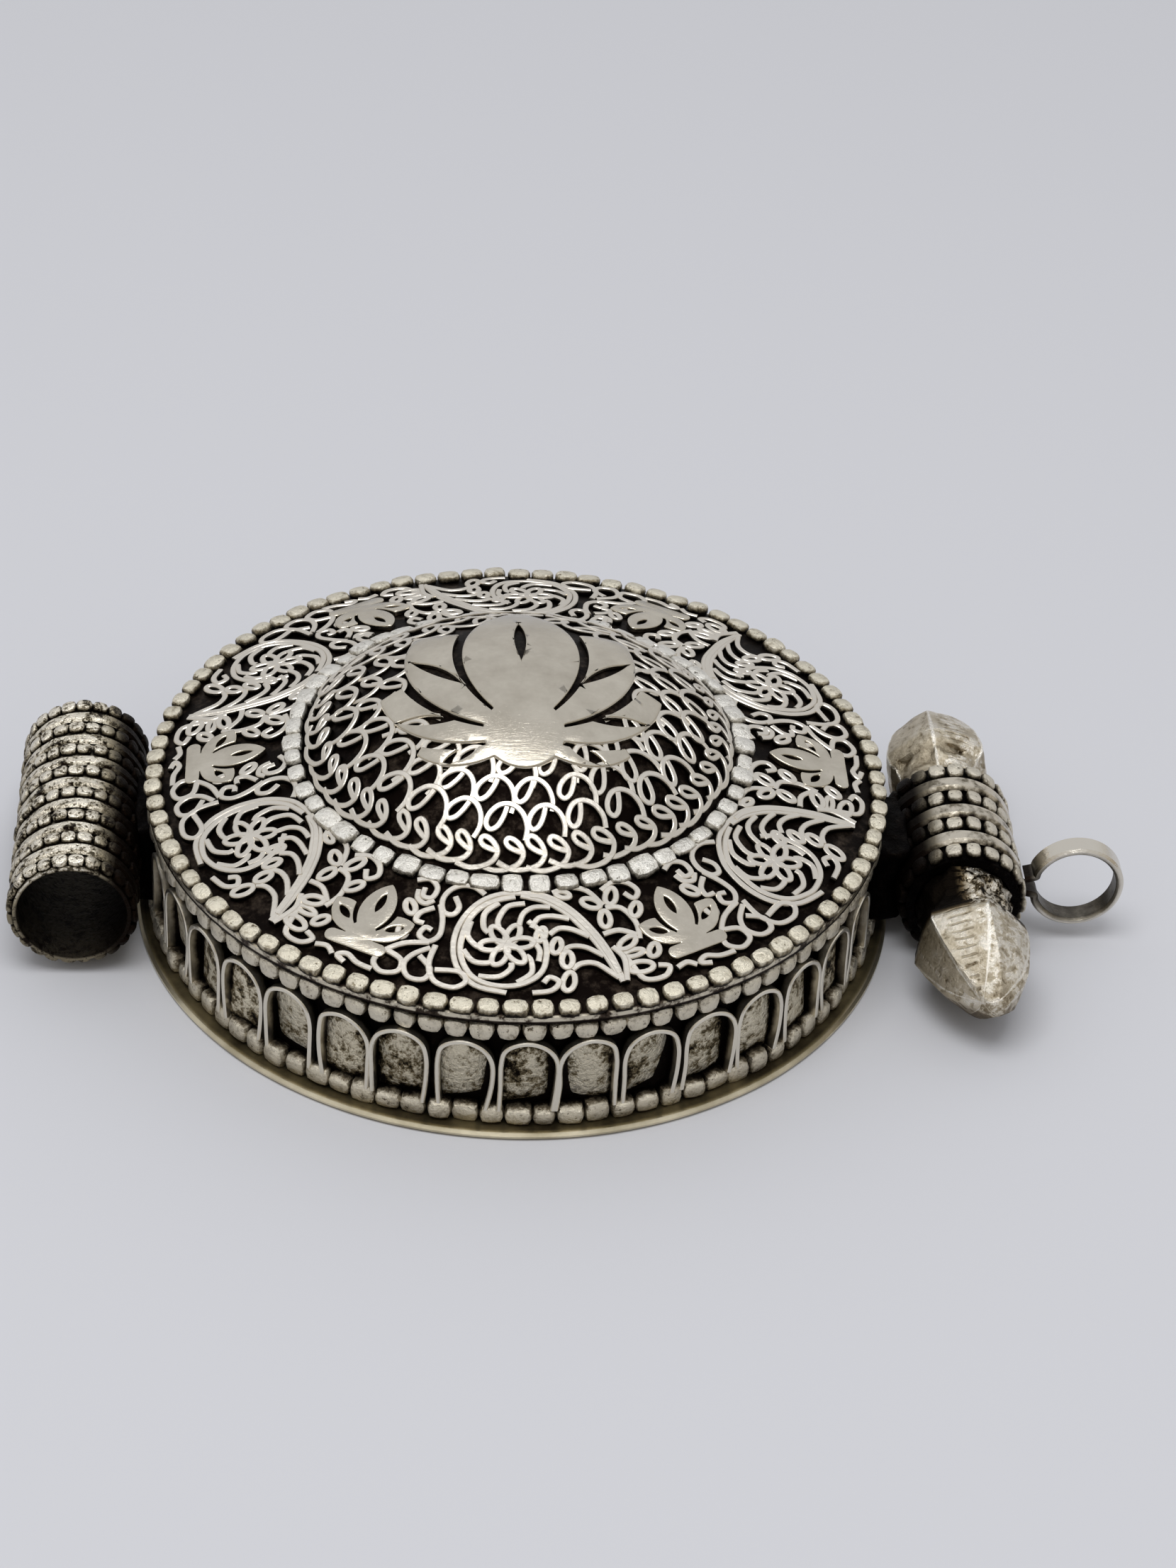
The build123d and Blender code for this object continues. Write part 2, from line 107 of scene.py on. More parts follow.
def patina(add, shader, shine, tones, rough, grain, dents):
    """Colour and gloss a metal from its shine, 0 in the black and 1 on the rubbed tops. In some metals the
    shine also carries painted light and shade.

    tones are the colours from black to rubbed, rough the roughness of both, grain the fine texture
    and dents how deep that texture stands, in millimetres."""
    tint = add("ValToRGB", shine)
    tint.node.color_ramp.elements[0].color = colour(tones[0])
    tint.node.color_ramp.elements[1].color = colour(tones[-1])
    for index, tone in enumerate(tones[1:-1], 1):
        tint.node.color_ramp.elements.new(index / (len(tones) - 1)).color = colour(tone)
    gloss = add("MapRange", Value=shine, To_Min=rough[0], To_Max=rough[1])
    relief = add("Bump", Height=grain, Strength=1.0, Distance=dents * MM)
    for socket, name in ((tint, "Base Color"), (gloss, "Roughness"), (relief, "Normal")):
        shader.id_data.links.new(socket, shader.inputs[name])


def from_axis(add, across, up):
    """Distance from an axis, given the two coordinates across it."""
    squares = [add("Math POWER", part, 2.0) for part in (across, up)]
    return add("Math SQRT", add("Math ADD", *squares))


def smooth_faces(mesh):
    """Shade a mesh smooth but for its sharp edges."""
    mesh.shade_smooth()
    mesh.set_sharp_from_angle(angle=radians(38))


def finish_mesh(name, verts, faces):
    """Mesh from corners and faces, with doubles merged and its faces turned outwards."""
    mesh = bpy.data.meshes.new(name)
    mesh.from_pydata(verts, [], faces)
    shape = bmesh.new()
    shape.from_mesh(mesh)
    bmesh.ops.remove_doubles(shape, verts=shape.verts, dist=0.001 * MM)
    bmesh.ops.recalc_face_normals(shape, faces=shape.faces)
    shape.to_mesh(mesh)
    shape.free()
    smooth_faces(mesh)
    return mesh


def place_piece(name, mesh, material, body, slot, *nodes):
    """Put a finished mesh in the scene, riding on a body in place of the named nodes."""
    piece = bpy.data.objects.new(name, mesh)
    bpy.context.scene.collection.objects.link(piece)
    if material and not mesh.materials:
        mesh.materials.append(material)
    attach(piece, body)
    if nodes:
        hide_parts(*nodes)
    return piece


def coat(material, *nodes):
    """Give carried-over solids a better finish."""
    for node in nodes:
        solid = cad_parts[node]
        solid.data.materials.clear()
        solid.data.materials.append(material)


plate_low, plate_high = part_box("back_plate")

# Aged sheet brass, rolled and hand rubbed: olive where it is dull, painted dark as the shade under the beads
# where the flange shows, and straw yellow along its edge, partly rubbed and partly a painted highlight
aged_brass, add, shader, place = start_metal("aged_sheet_brass")
stains = add("TexNoise", Vector=place, Scale=1 / (5.0 * MM), Detail=5.0, Roughness=0.6)
grain = add("TexNoise", Vector=place, Scale=1 / (0.35 * MM), Detail=3.0, Roughness=0.6)
axes = add("SeparateXYZ", place).node.outputs
reach = from_axis(add, axes["X"], axes["Y"])
# Pale band along the rim of the disc: partly rubbed brass, partly a painted highlight
edge = add("MapRange SMOOTHSTEP", reach, plate_high.x - 0.7 * MM, plate_high.x - 0.15 * MM)
stains = add("MapRange SMOOTHSTEP", stains, 0.25, 0.8)
shine = add("Math MULTIPLY_ADD", edge, 0.7, add("Math MULTIPLY", stains, 0.4))
patina(add, shader, shine, ("#2F281D", "#857A5D", "#DDD4BB"), (0.52, 0.34), grain, 0.012)

flange_edge = 0.22 * MM
flange_waver = 0.12 * MM
flange_steps = 240
flange_verts = []
flange_faces = []
for step in range(flange_steps):
    turn = 2 * pi * step / flange_steps
    around = Vector((cos(turn), sin(turn), 0))
    reach = plate_high.x - flange_waver * (0.5 + 0.5 * noise.noise(around * 4.0))
    section = [(reach - flange_edge, plate_low.z), (reach, plate_low.z + flange_edge)]
    section += [(reach, plate_high.z - flange_edge), (reach - flange_edge, plate_high.z)]
    flange_verts += [around * radius + Vector((0, 0, height)) for radius, height in section]
    after = 4 * ((step + 1) % flange_steps)
    for corner in range(3):
        here = 4 * step + corner
        flange_faces.append((here, after + corner, after + corner + 1, here + 1))
middle = len(flange_verts)
flange_verts += [Vector((0, 0, plate_low.z)), Vector((0, 0, plate_high.z))]
for step in range(flange_steps):
    after = 4 * ((step + 1) % flange_steps)
    flange_faces.append((middle, after, 4 * step))
    flange_faces.append((middle + 1, 4 * step + 3, after + 3))
back_mesh = finish_mesh("back_cover_sheet", flange_verts, flange_faces)
place_piece("back_cover_sheet", back_mesh, aged_brass, "back_cover", "back_brass", "back_plate")
coat(aged_brass, "back_collar")

# Box wall: a strip of silver sheet rolled to a ring and soldered, then blackened with sulphide.
# A little of it shows between the arches and above and below them.
wall_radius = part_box("side_wall")[1].x

# Oxidised silver sheet: brown-black, with a few grey rubbed specks
oxidised_wall, add, shader, place = start_metal("oxidised_silver_wall")
speckle = add("TexNoise", Vector=place, Scale=1 / (0.8 * MM), Detail=6.0, Roughness=0.72)
grain = add("TexNoise", Vector=place, Scale=1 / (0.3 * MM), Detail=4.0, Roughness=0.6)
shine = add("MapRange SMOOTHSTEP", speckle, 0.5, 0.9)
patina(add, shader, shine, ("#100C0A", "#241D19", "#5B5348"), (0.58, 0.42), grain, 0.04)
coat(oxidised_wall, "side_wall")

# Front plate: one sheet raised to a dome, blackened under the filigree that is soldered to it.
# Its cut edge shows as a thin line under the rim beads.
rim_radius = 29.6 * MM
rim_height = 11.25 * MM
dome_radius = 17.2 * MM
dome_foot = 14.6 * MM
band_radius = 23.1 * MM
front_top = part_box("front_plate")[1].z
slope = (dome_foot - rim_height) / (rim_radius - dome_radius)
slope_cos = 1 / sqrt(1 + slope**2)
slope_sin = slope * slope_cos
dome_rise = front_top - dome_foot
dome_ball = (dome_radius**2 + dome_rise**2) / (2 * dome_rise)
dome_centre = Vector((0, 0, front_top - dome_ball))

# Oxidised silver sheet under the wires: almost black, with a few brown-grey rubbed patches and a pale line
# along its cut edge under the rim beads, partly rubbed and partly a painted highlight
oxidised_floor, add, shader, place = start_metal("oxidised_silver_floor")
patches = add("TexNoise", Vector=place, Scale=1 / (1.6 * MM), Detail=6.0, Roughness=0.7)
grain = add("TexNoise", Vector=place, Scale=1 / (0.3 * MM), Detail=4.0, Roughness=0.6)
axes = add("SeparateXYZ", place).node.outputs
reach = from_axis(add, axes["X"], axes["Y"])
# Pale line along the cut edge of the rim: partly rubbed, partly a painted highlight
edge = add("MapRange SMOOTHSTEP", reach, rim_radius - 0.35 * MM, rim_radius - 0.1 * MM)
above = add("MapRange SMOOTHSTEP", axes["Z"], rim_height - 0.5 * MM, rim_height - 0.3 * MM)
edge = add("Math MULTIPLY", edge, above)
edge = add("Math MULTIPLY", edge, add("MapRange SMOOTHSTEP", patches, 0.3, 0.55))
patches = add("MapRange SMOOTHSTEP", patches, 0.46, 0.82)
shine = add("Math MAXIMUM", add("Math MULTIPLY", patches, 0.55), edge)
patina(add, shader, shine, ("#110C0A", "#4A4037", "#CFC7B4"), (0.6, 0.36), grain, 0.03)
coat(oxidised_floor, "front_plate")

# Shot beads: pellets of melted silver pressed flat on top, soldered in rows along the rim, round
# the foot of the dome and along the top and the bottom of the wall. Black lies between them.


def pebble(name, half_width, half_depth, height, square, taper=0.0):
    """One pressed pellet standing on the origin, sized in mm and narrower at one end by the taper.

    Its polish is stored with it, from 0 at its foot to 1 on its flat top."""
    sides = 12
    levels = ((-0.16, 0.84, 0.0), (0.16, 1.0, 0.0), (0.6, 1.0, 0.5), (0.88, 0.88, 0.9), (1.0, 0.64, 1.0))
    verts = []
    shines = []
    for level, girth, shine in levels:
        for side in range(sides):
            turn = 2 * pi * (side + 0.5) / sides
            bulge = (abs(cos(turn)) ** square + abs(sin(turn)) ** square) ** (-1 / square)
            along = bulge * girth * cos(turn)
            across = bulge * girth * sin(turn) * (1 - taper * along)
            verts.append(Vector((half_depth * along, half_width * across, level * height)) * MM)
            shines.append(shine)
    verts.append(Vector((0, 0, height * 1.02)) * MM)
    shines.append(1.0)
    faces = [tuple(reversed(range(sides)))]
    for ring in range(len(levels) - 1):
        for side in range(sides):
            here = ring * sides + side
            after = ring * sides + (side + 1) % sides
            faces.append((here, after, after + sides, here + sides))
    top = (len(levels) - 1) * sides
    faces += [(top + side, top + (side + 1) % sides, len(verts) - 1) for side in range(sides)]
    mesh = bpy.data.meshes.new(name)
    mesh.from_pydata(verts, [], faces)
    mesh.attributes.new("polish", "FLOAT", "POINT").data.foreach_set("value", shines)
    return mesh


def start_growth(name, sizes):
    """A new Geometry Nodes tree with a mesh in, named sizes and a finished mesh out.

    Returns the tree, what adds its nodes, and the sizes as its nodes see them."""
    growth = bpy.data.node_groups.new(name, "GeometryNodeTree")
    growth.interface.new_socket("Geometry", in_out="INPUT", socket_type="NodeSocketGeometry")
    for label, kind in sizes.items():
        growth.interface.new_socket(label, in_out="INPUT", socket_type="NodeSocket" + kind)
    growth.interface.new_socket("Geometry", in_out="OUTPUT", socket_type="NodeSocketGeometry")
    add = partial(add_node, growth)
    return growth, add, add("NodeGroupInput").node.outputs


def end_growth(add, geometry, material):
    """Close a tree: make its instances real and give them their material."""
    real = add("GeometryNodeRealizeInstances", geometry)
    add("NodeGroupOutput", add("GeometryNodeSetMaterial", real, Material=material))


def grow(name, mesh, growth, sizes):
    """Run a tree on a mesh and return the result as a plain mesh with its faces turned outwards."""
    piece = bpy.data.objects.new(name, mesh)
    bpy.context.scene.collection.objects.link(piece)
    modifier = piece.modifiers.new(name, "NODES")
    modifier.node_group = growth
    for item in growth.interface.items_tree:
        if item.in_out == "INPUT" and item.name in sizes:
            modifier[item.identifier] = sizes[item.name]
    view = bpy.context.evaluated_depsgraph_get()
    grown = bpy.data.meshes.new_from_object(piece.evaluated_get(view), depsgraph=view)
    bpy.data.objects.remove(piece)
    grown.name = name
    shape = bmesh.new()
    shape.from_mesh(grown)
    bmesh.ops.recalc_face_normals(shape, faces=shape.faces)
    shape.to_mesh(grown)
    shape.free()
    smooth_faces(grown)
    return grown


# Rings of pellets round an axis: each pellet leans outwards and differs a little in size and place.
# Clear leaves a gap of that half width on both sides, for the saddles of the tube and the bar.
bead_sizes = {"Count": "Int", "Rings": "Int", "Radius": "Float", "Rise": "Float", "Pitch": "Float"}
bead_sizes |= {"Stagger": "Float", "Lean": "Float", "Turn": "Vector", "Place": "Vector"}
bead_sizes |= {"Size Jitter": "Float", "Place Jitter": "Float", "Seed": "Int", "Material": "Material"}
bead_sizes |= {"Clear": "Float", "Clear Shift": "Float"}
bead_rings, add, given = start_growth("bead_rings", bead_sizes)
# Where each pellet stands, counted round its ring and then from ring to ring
index = add("GeometryNodeInputIndex")
total = add("Math MULTIPLY", given["Count"], given["Rings"])
ring = add("Math FLOOR", add("Math DIVIDE", index, given["Count"]))
share = add("Math DIVIDE", 2 * pi, given["Count"])
along = add("Math MULTIPLY_ADD", add("Math ADD", ring, 1.0), given["Stagger"], index)
turn = add("Math MULTIPLY", along, share)
ahead = add("Math MULTIPLY", add("Math COSINE", turn), given["Radius"])
aside = add("Math MULTIPLY", add("Math SINE", turn), given["Radius"])
rise = add("Math MULTIPLY_ADD", ring, given["Pitch"], given["Rise"])
spot = add("CombineXYZ", ahead, aside, rise)
least = (-1.0, -1.0, -1.0)
most = (1.0, 1.0, 1.0)
chance = add("FunctionNodeRandomValue", least, most, Seed=given["Seed"], data_type="FLOAT_VECTOR")
spot = add("VectorMath MULTIPLY_ADD", chance, given["Place Jitter"], spot)
seats = add("GeometryNodePoints", Count=total, Position=spot)
# How it is turned, and how large it is
wobble = (0.1, 0.1, 0.1)
whole = (1.0, 1.0, 1.0)
facing = add("CombineXYZ", Y=given["Lean"], Z=turn)
facing = add("VectorMath MULTIPLY_ADD", chance, wobble, facing)
facing = add("FunctionNodeEulerToRotation", Euler=facing)
seed = add("Math ADD", given["Seed"], 7.0)
chance = add("FunctionNodeRandomValue", least, most, Seed=seed, data_type="FLOAT_VECTOR")
girth = add("VectorMath MULTIPLY_ADD", chance, given["Size Jitter"], whole)
# Which pellets are kept: those outside the gap on each side
bar_side = add("Math GREATER_THAN", ahead, 0.0)
gap_middle = add("Math MULTIPLY", bar_side, given["Clear Shift"])
aside = add("Math ABSOLUTE", add("Math SUBTRACT", aside, gap_middle))
kept = add("Math GREATER_THAN", aside, given["Clear"])
pellets = add("GeometryNodeInstanceOnPoints", seats, kept, given["Geometry"], Rotation=facing, Scale=girth)
axis = add("FunctionNodeEulerToRotation", given["Turn"])
pellets = add("GeometryNodeTransform", pellets, Translation=given["Place"], Rotation=axis)
end_growth(add, pellets, given["Material"])


def stirred(add, value, clouds, strength):
    """A value raised and lowered by a cloudy texture."""
    return add("Math MULTIPLY_ADD", add("Math SUBTRACT", clouds, 0.5), strength, value)


def dimmed(add, shine, mask, least, most):
    """Shine scaled from least, where the mask is 0, to most, where it is 1."""
    return add("Math MULTIPLY", shine, add("Math MULTIPLY_ADD", mask, most - least, least))


def darkened_along_x(add, place, shine, darkening_span):
    """Darken a metal between two places along X: oxide and painted shade where the tube and the bar face
    the box, and the black of the hoop's soldered foot.
    """
    axes = add("SeparateXYZ", place).node.outputs
    return add("Math MULTIPLY", shine, add("MapRange SMOOTHSTEP", axes["X"], *darkening_span))


def shot_silver(name, tones, darkening_span=None):
    """Cast silver pellets: rubbed bright on top, brown-black where they meet, with fine dents."""
    material, add, shader, place = start_metal(name)
    height = add("Attribute", out="Fac", attribute_name="polish")
    blotch = add("TexNoise", Vector=place, Scale=1 / (0.8 * MM), Detail=6.0, Roughness=0.7)
    rubbed = stirred(add, height, blotch, 2.0)
    nicks = add("TexNoise", Vector=place, Scale=1 / (0.55 * MM), Detail=5.0, Roughness=0.75)
    shine = add("MapRange SMOOTHSTEP", rubbed, 0.05, 1.05)
    shine = add("Math MULTIPLY", shine, add("MapRange SMOOTHSTEP", nicks, 0.27, 0.43))
    if darkening_span:
        shine = darkened_along_x(add, place, shine, darkening_span)
    patina(add, shader, shine, tones, (0.55, 0.34), nicks, 0.2)
    return material


# Silver shot with a straw tint from handling, along the rim
rim_shot = shot_silver("rubbed_silver_shot", ("#17110E", "#938871", "#E4DDCA"))
# Greyer shot with more black in it, along the wall
wall_shot = shot_silver("dull_silver_shot", ("#15100D", "#7F7563", "#E0D9C8"))
# Paler shot round the dome, rubbed flat and almost white
dome_shot = shot_silver("flattened_silver_shot", ("#17110E", "#A5A094", "#ECE9E1"))


def grow_rings(name, shape, sizes):
    """Rings of one shape. A size that isn't given is that of a single whole row round the box."""
    usual = {"Rings": 1, "Pitch": 0.0, "Stagger": 0.0, "Lean": pi / 2, "Turn": (0.0, 0.0, 0.0)}
    usual |= {"Place": (0.0, 0.0, 0.0), "Clear": -1.0, "Clear Shift": 0.0}
    return grow(name, shape, bead_rings, usual | sizes)


def bead_row(name, shape, count, radius, rise, lean, jitter, seed, material):
    """One row of pellets round the axis of the box, in place of its row of plain spheres."""
    sizes = {"Count": count, "Radius": radius, "Rise": rise, "Lean": lean, "Size Jitter": jitter}
    sizes |= {"Place Jitter": 0.06 * MM, "Seed": seed, "Material": material}
    mesh = grow_rings(name, shape, sizes)
    place_piece(name + "_shot", mesh, None, "front_shell", "bead_silver", name)


def border_z(radius):
    """Height of the sloping border at a distance from the axis."""
    return rim_height + (rim_radius - radius) * slope


rim_row = 29.0 * MM
rim_pebble = pebble("rim_pebble", 0.93, 0.74, 0.72, 3.1)
bead_row("front_rim_beads", rim_pebble, 90, rim_row, border_z(rim_row), 0.22, 0.1, 3, rim_shot)
dome_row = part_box("dome_border_beads")[1].x - 0.85 * MM
dome_pebble = pebble("dome_pebble", 1.03, 0.82, 0.75, 4.5)
bead_row("dome_border_beads", dome_pebble, 54, dome_row, border_z(dome_row), 0.24, 0.2, 5, dome_shot)
upper_low, upper_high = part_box("wall_upper_beads")
upper_pebble = pebble("upper_pebble", 0.95, 0.8, 1.1, 3.6, 0.2)
upper_z = (upper_low.z + upper_high.z) / 2
bead_row("wall_upper_beads", upper_pebble, 93, wall_radius, upper_z, pi / 2, 0.07, 7, wall_shot)
lower_low, lower_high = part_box("wall_lower_beads")
lower_pebble = pebble("lower_pebble", 1.0, 0.84, 1.2, 4.0)
lower_z = (lower_low.z + lower_high.z) / 2
bead_row("wall_lower_beads", lower_pebble, 91, wall_radius, lower_z, pi / 2, 0.12, 11, wall_shot)

# Arch floors: small arched pads of silver sheet, pressed up in the middle and soldered to the wall
# one inside each arch. Rubbing has bared them to a mottled pewter grey, with black along their edges
# that is partly oxide and partly painted shade beside the strips.
arch_count = 38
arch_low, arch_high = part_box("wall_arches")
arch_pitch = 2 * pi * wall_radius / arch_count
arch_half = 2.25 * MM
arch_crown = arch_high.z - arch_half
saddle_room = 6.4 * MM
saddle_low, saddle_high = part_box("bar_saddle")
bar_shift = (saddle_low.y + saddle_high.y) / 2
pad_half = 1.98 * MM
pad_rows = 9
pad_columns = 8
pad_bulge = 0.4 * MM
pad_sink = 0.06 * MM
pad_tip = 0.25 * MM
pad_round = 0.5 * MM
pad_foot = arch_low.z - 0.2 * MM
pad_middle = (pad_foot + arch_crown + pad_half) / 2
pad_verts = []
pad_shines = []
for row in range(pad_rows + 1):
    height = pad_foot + (arch_crown + pad_half - pad_foot) * (1 - (1 - row / pad_rows) ** 1.6)
    over = max(0.0, height - arch_crown)
    half = sqrt(max(pad_half**2 - over**2, pad_tip**2))
    for column in range(pad_columns + 1):
        across = 2 * column / pad_columns - 1
        edge = min(1.0, (arch_crown + pad_half - height) / pad_half, (height - pad_foot) / pad_round)
        swell = sqrt(max(0.0, 1 - across**2)) * sqrt(max(0.0, edge))
        pad_verts.append((pad_middle - height, half * across, pad_bulge * swell - pad_sink))
        pad_shines.append(swell)
pad_side = pad_columns + 1
pad_edge = list(range(pad_side)) + [row * pad_side + pad_columns for row in range(1, pad_rows)]
pad_edge += list(range(pad_rows * pad_side + pad_columns, pad_rows * pad_side - 1, -1))
pad_edge += [row * pad_side for row in range(pad_rows - 1, 0, -1)]
pad_faces = [tuple(reversed(pad_edge))]
for row in range(pad_rows):
    for column in range(pad_columns):
        here = row * pad_side + column
        pad_faces.append((here, here + 1, here + pad_side + 1, here + pad_side))
pad_mesh = bpy.data.meshes.new("arch_pad")
pad_mesh.from_pydata(pad_verts, [], pad_faces)
pad_mesh.attributes.new("polish", "FLOAT", "POINT").data.foreach_set("value", pad_shines)

# Bared pewter-grey sheet: cloudy and dented, with black stains that eat in from the edges; the black
# along the edges is partly oxide and partly painted shade beside the strips
bared_sheet, add, shader, place = start_metal("bared_silver_sheet")
height = add("Attribute", out="Fac", attribute_name="polish")
stains = add("TexNoise", Vector=place, Scale=1 / (1.0 * MM), Detail=7.0, Roughness=0.75)
dents = add("TexNoise", Vector=place, Scale=1 / (0.5 * MM), Detail=5.0, Roughness=0.65)
broad = add("TexNoise", Vector=place, Scale=1 / (7.0 * MM), Detail=1.0, Roughness=0.6)
# Darker towards the edges of each pad: partly oxide, partly painted shade beside the strips
bared = stirred(add, add("MapRange SMOOTHSTEP", height, 0.05, 0.85), stains, 8.0)
bared = stirred(add, bared, broad, 2.5)
shine = add("MapRange SMOOTHSTEP", bared, -0.2, 1.5)
patina(add, shader, shine, ("#120D0A", "#83775D", "#EAE3D0"), (0.58, 0.28), dents, 0.35)
pads = {"Count": arch_count, "Radius": wall_radius, "Rise": pad_middle, "Stagger": 0.5}
pads |= {"Size Jitter": 0.05, "Place Jitter": 0.05 * MM, "Seed": 41, "Material": bared_sheet}
pads |= {"Clear": saddle_room, "Clear Shift": bar_shift}
pad_piece = grow_rings("arch_pads", pad_mesh, pads)
place_piece("arch_pads", pad_piece, None, "front_shell", "oxidised_sheet")

# Arcade: strips of thin silver bent to arches by hand and soldered on edge round the wall.
# Each one differs a little, and none stands behind the saddles of the tube and the bar.

# Wires swept along their paths with a flat top, then repeated round the axis of the box
wire_sizes = {"Width": "Float", "Height": "Float", "Sink": "Float", "Edge": "Float", "Waver": "Float"}
wire_sizes |= {"Repeats": "Int", "Start": "Float", "Material": "Material"}
bent_wires, add, given = start_growth("bent_wires", wire_sizes)
# The path, made smooth, with the wire's top facing outwards all along it
path = add("GeometryNodeMeshToCurve", Mesh=given["Geometry"])
path = add("GeometryNodeCurveSplineType", Curve=path, spline_type="CATMULL_ROM")
path = add("GeometryNodeSetSplineResolution", Geometry=path, Resolution=5)
path = add("GeometryNodeResampleCurve", Curve=path, mode="EVALUATED")
outward = add("GeometryNodeInputNamedAttribute", "outward", data_type="FLOAT_VECTOR")
tangent = add("GeometryNodeInputTangent")
aside = add("VectorMath CROSS_PRODUCT", outward, tangent)
path = add("GeometryNodeSetCurveNormal", path, Normal=aside, mode="FREE")
# The section, which carries its polish from 0 at its foot to 1 on top and stands proud of the path
section = add("GeometryNodeCurvePrimitiveQuadrilateral", given["Width"], given["Height"])
bevel = given["Edge"]
section = add("GeometryNodeFilletCurve", section, Count=1, Radius=bevel, Limit_Radius=True, mode="POLY")
level = add("SeparateXYZ", add("GeometryNodeInputPosition"), out="Y")
level = add("Math ADD", add("Math DIVIDE", level, given["Height"]), 0.5)
section = add("GeometryNodeStoreNamedAttribute", section, Name="polish", Value=level)
rise = add("Math SUBTRACT", add("Math MULTIPLY", given["Height"], 0.5), given["Sink"])
rise = add("CombineXYZ", Y=rise)
section = add("GeometryNodeSetPosition", Geometry=section, Offset=rise)
wire = add("GeometryNodeCurveToMesh", path, section, Fill_Caps=True)
# The wires, turned round the axis and then pushed a little out of true, as by hand
index = add("GeometryNodeInputIndex")
share = add("Math DIVIDE", 2 * pi, given["Repeats"])
turn = add("Math MULTIPLY_ADD", index, share, given["Start"])
turn = add("FunctionNodeEulerToRotation", add("CombineXYZ", Z=turn))
spots = add("GeometryNodePoints", Count=given["Repeats"])
wires = add("GeometryNodeInstanceOnPoints", spots, Instance=wire, Rotation=turn)
wires = add("GeometryNodeRealizeInstances", Geometry=wires)
drift = add("TexNoise", Scale=1 / (3.5 * MM), Detail=1.0, out="Color")
drift = add("VectorMath SUBTRACT", drift, (0.5, 0.5, 0.5))
drift = add("VectorMath MULTIPLY", drift, given["Waver"])
wires = add("GeometryNodeSetPosition", Geometry=wires, Offset=drift)
end_growth(add, wires, given["Material"])


def wire_paths(name, wires):
    """Paths for the wires: each a list of pairs, a place and the direction that its top faces."""
    verts = []
    edges = []
    tops = []
    for wire in wires:
        first = len(verts)
        closed = (wire[0][0] - wire[-1][0]).length < 0.001 * MM
        points = wire[:-1] if closed else wire
        verts += [place for place, _ in points]
        tops += [part for _, top in points for part in top]
        edges += [(first + step, first + step + 1) for step in range(len(points) - 1)]
        if closed:
            edges.append((len(verts) - 1, first))
    mesh = bpy.data.meshes.new(name)
    mesh.from_pydata(verts, edges, [])
    mesh.attributes.new("outward", "FLOAT_VECTOR", "POINT").data.foreach_set("vector", tops)
    return mesh


def wire_piece(name, wires, section, waver, material, slot, *nodes, repeats=1, start=0.0):
    """Bend wires of one section (width, height, sink and edge in mm) and put them on the shell."""
    sizes = {label: size * MM for label, size in zip(("Width", "Height", "Sink", "Edge"), section)}
    sizes |= {"Repeats": repeats, "Start": start, "Waver": waver * MM, "Material": material}
    mesh = grow(name, wire_paths(name, wires), bent_wires, sizes)
    return place_piece(name, mesh, None, "front_shell", slot, *nodes)


def worn_wire(name, tones, rough, low, high, darkening_span=None, wear=0.5):
    """Silver wire rubbed bright along its flat top and black down its sides and in worn patches."""
    material, add, shader, place = start_metal(name)
    height = add("Attribute", out="Fac", attribute_name="polish")
    blotch = add("TexNoise", Vector=place, Scale=1 / (1.2 * MM), Detail=5.0, Roughness=0.6)
    rubbed = stirred(add, height, blotch, wear)
    shine = add("MapRange SMOOTHSTEP", rubbed, low, high)
    if darkening_span:
        shine = darkened_along_x(add, place, shine, darkening_span)
    grain = add("TexNoise", Vector=place, Scale=1 / (0.35 * MM), Detail=3.0, Roughness=0.6)
    patina(add, shader, shine, tones, rough, grain, 0.03)
    return material


def on_wall(along, height):
    """Place on the wall, measured round it and up it, with its outward direction."""
    turn = along / wall_radius
    around = Vector((cos(turn), sin(turn), 0))
    return around * wall_radius + Vector((0, 0, height)), around


# Bent silver strip: a grey-white line along its rubbed edge, and black down its sides
arch_silver = worn_wire("bent_silver_strip", ("#17110E", "#938B7C", "#DDD7C9"), (0.5, 0.3), 0.35, 0.85)
arch_strip = 0.38
arch_proud = 1.15
hand = Random(17)
arches = []
for step in range(arch_count):
    middle = arch_pitch * step - pi / 2 * wall_radius
    turn = middle / wall_radius
    saddle = bar_shift if cos(turn) > 0 else 0
    if abs(wall_radius * sin(turn) - saddle) < saddle_room:
        continue
    half = (arch_half - arch_strip / 2 * MM) * hand.uniform(0.97, 1.03)
    crown = arch_crown + hand.uniform(-0.15, 0.1) * MM
    foot = arch_low.z - 0.15 * MM
    lean = hand.uniform(-0.2, 0.2) * MM
    splay = [hand.uniform(-0.25, 0.4) * MM for _ in range(2)]
    outline = [(-half + splay[0] + lean, foot), (-half + lean, (foot + crown) / 2), (-half + lean, crown)]
    outline += [(-half * 0.72, crown + half * 0.7), (0, crown + half), (half * 0.72, crown + half * 0.7)]
    outline += [(half + lean, crown), (half + lean, (foot + crown) / 2), (half - splay[1] + lean, foot)]
    arches.append([on_wall(middle + across, height) for across, height in outline])
arch_section = (arch_strip, arch_proud + 0.1, 0.1, 0.08)
wire_piece("arcade_strips", arches, arch_section, 0.0, arch_silver, "filigree_silver", "wall_arches")

# Border filigree: flat silver wire bent with pliers and soldered down on the black sheet. Each of
# the six wheels is a flower in a ring of sickles, whose rim runs out into a broad leaf with a comb.


def on_border(along, up, lift):
    """Place on the sloping border, in mm along it and up it from the middle of the band."""
    radius = band_radius - up * MM * slope_cos
    turn = along * MM / band_radius
    around = Vector((cos(turn), sin(turn), 0))
    top = around * slope_sin + Vector((0, 0, slope_cos))
    return around * radius + Vector((0, 0, border_z(radius))) + top * lift * MM, top


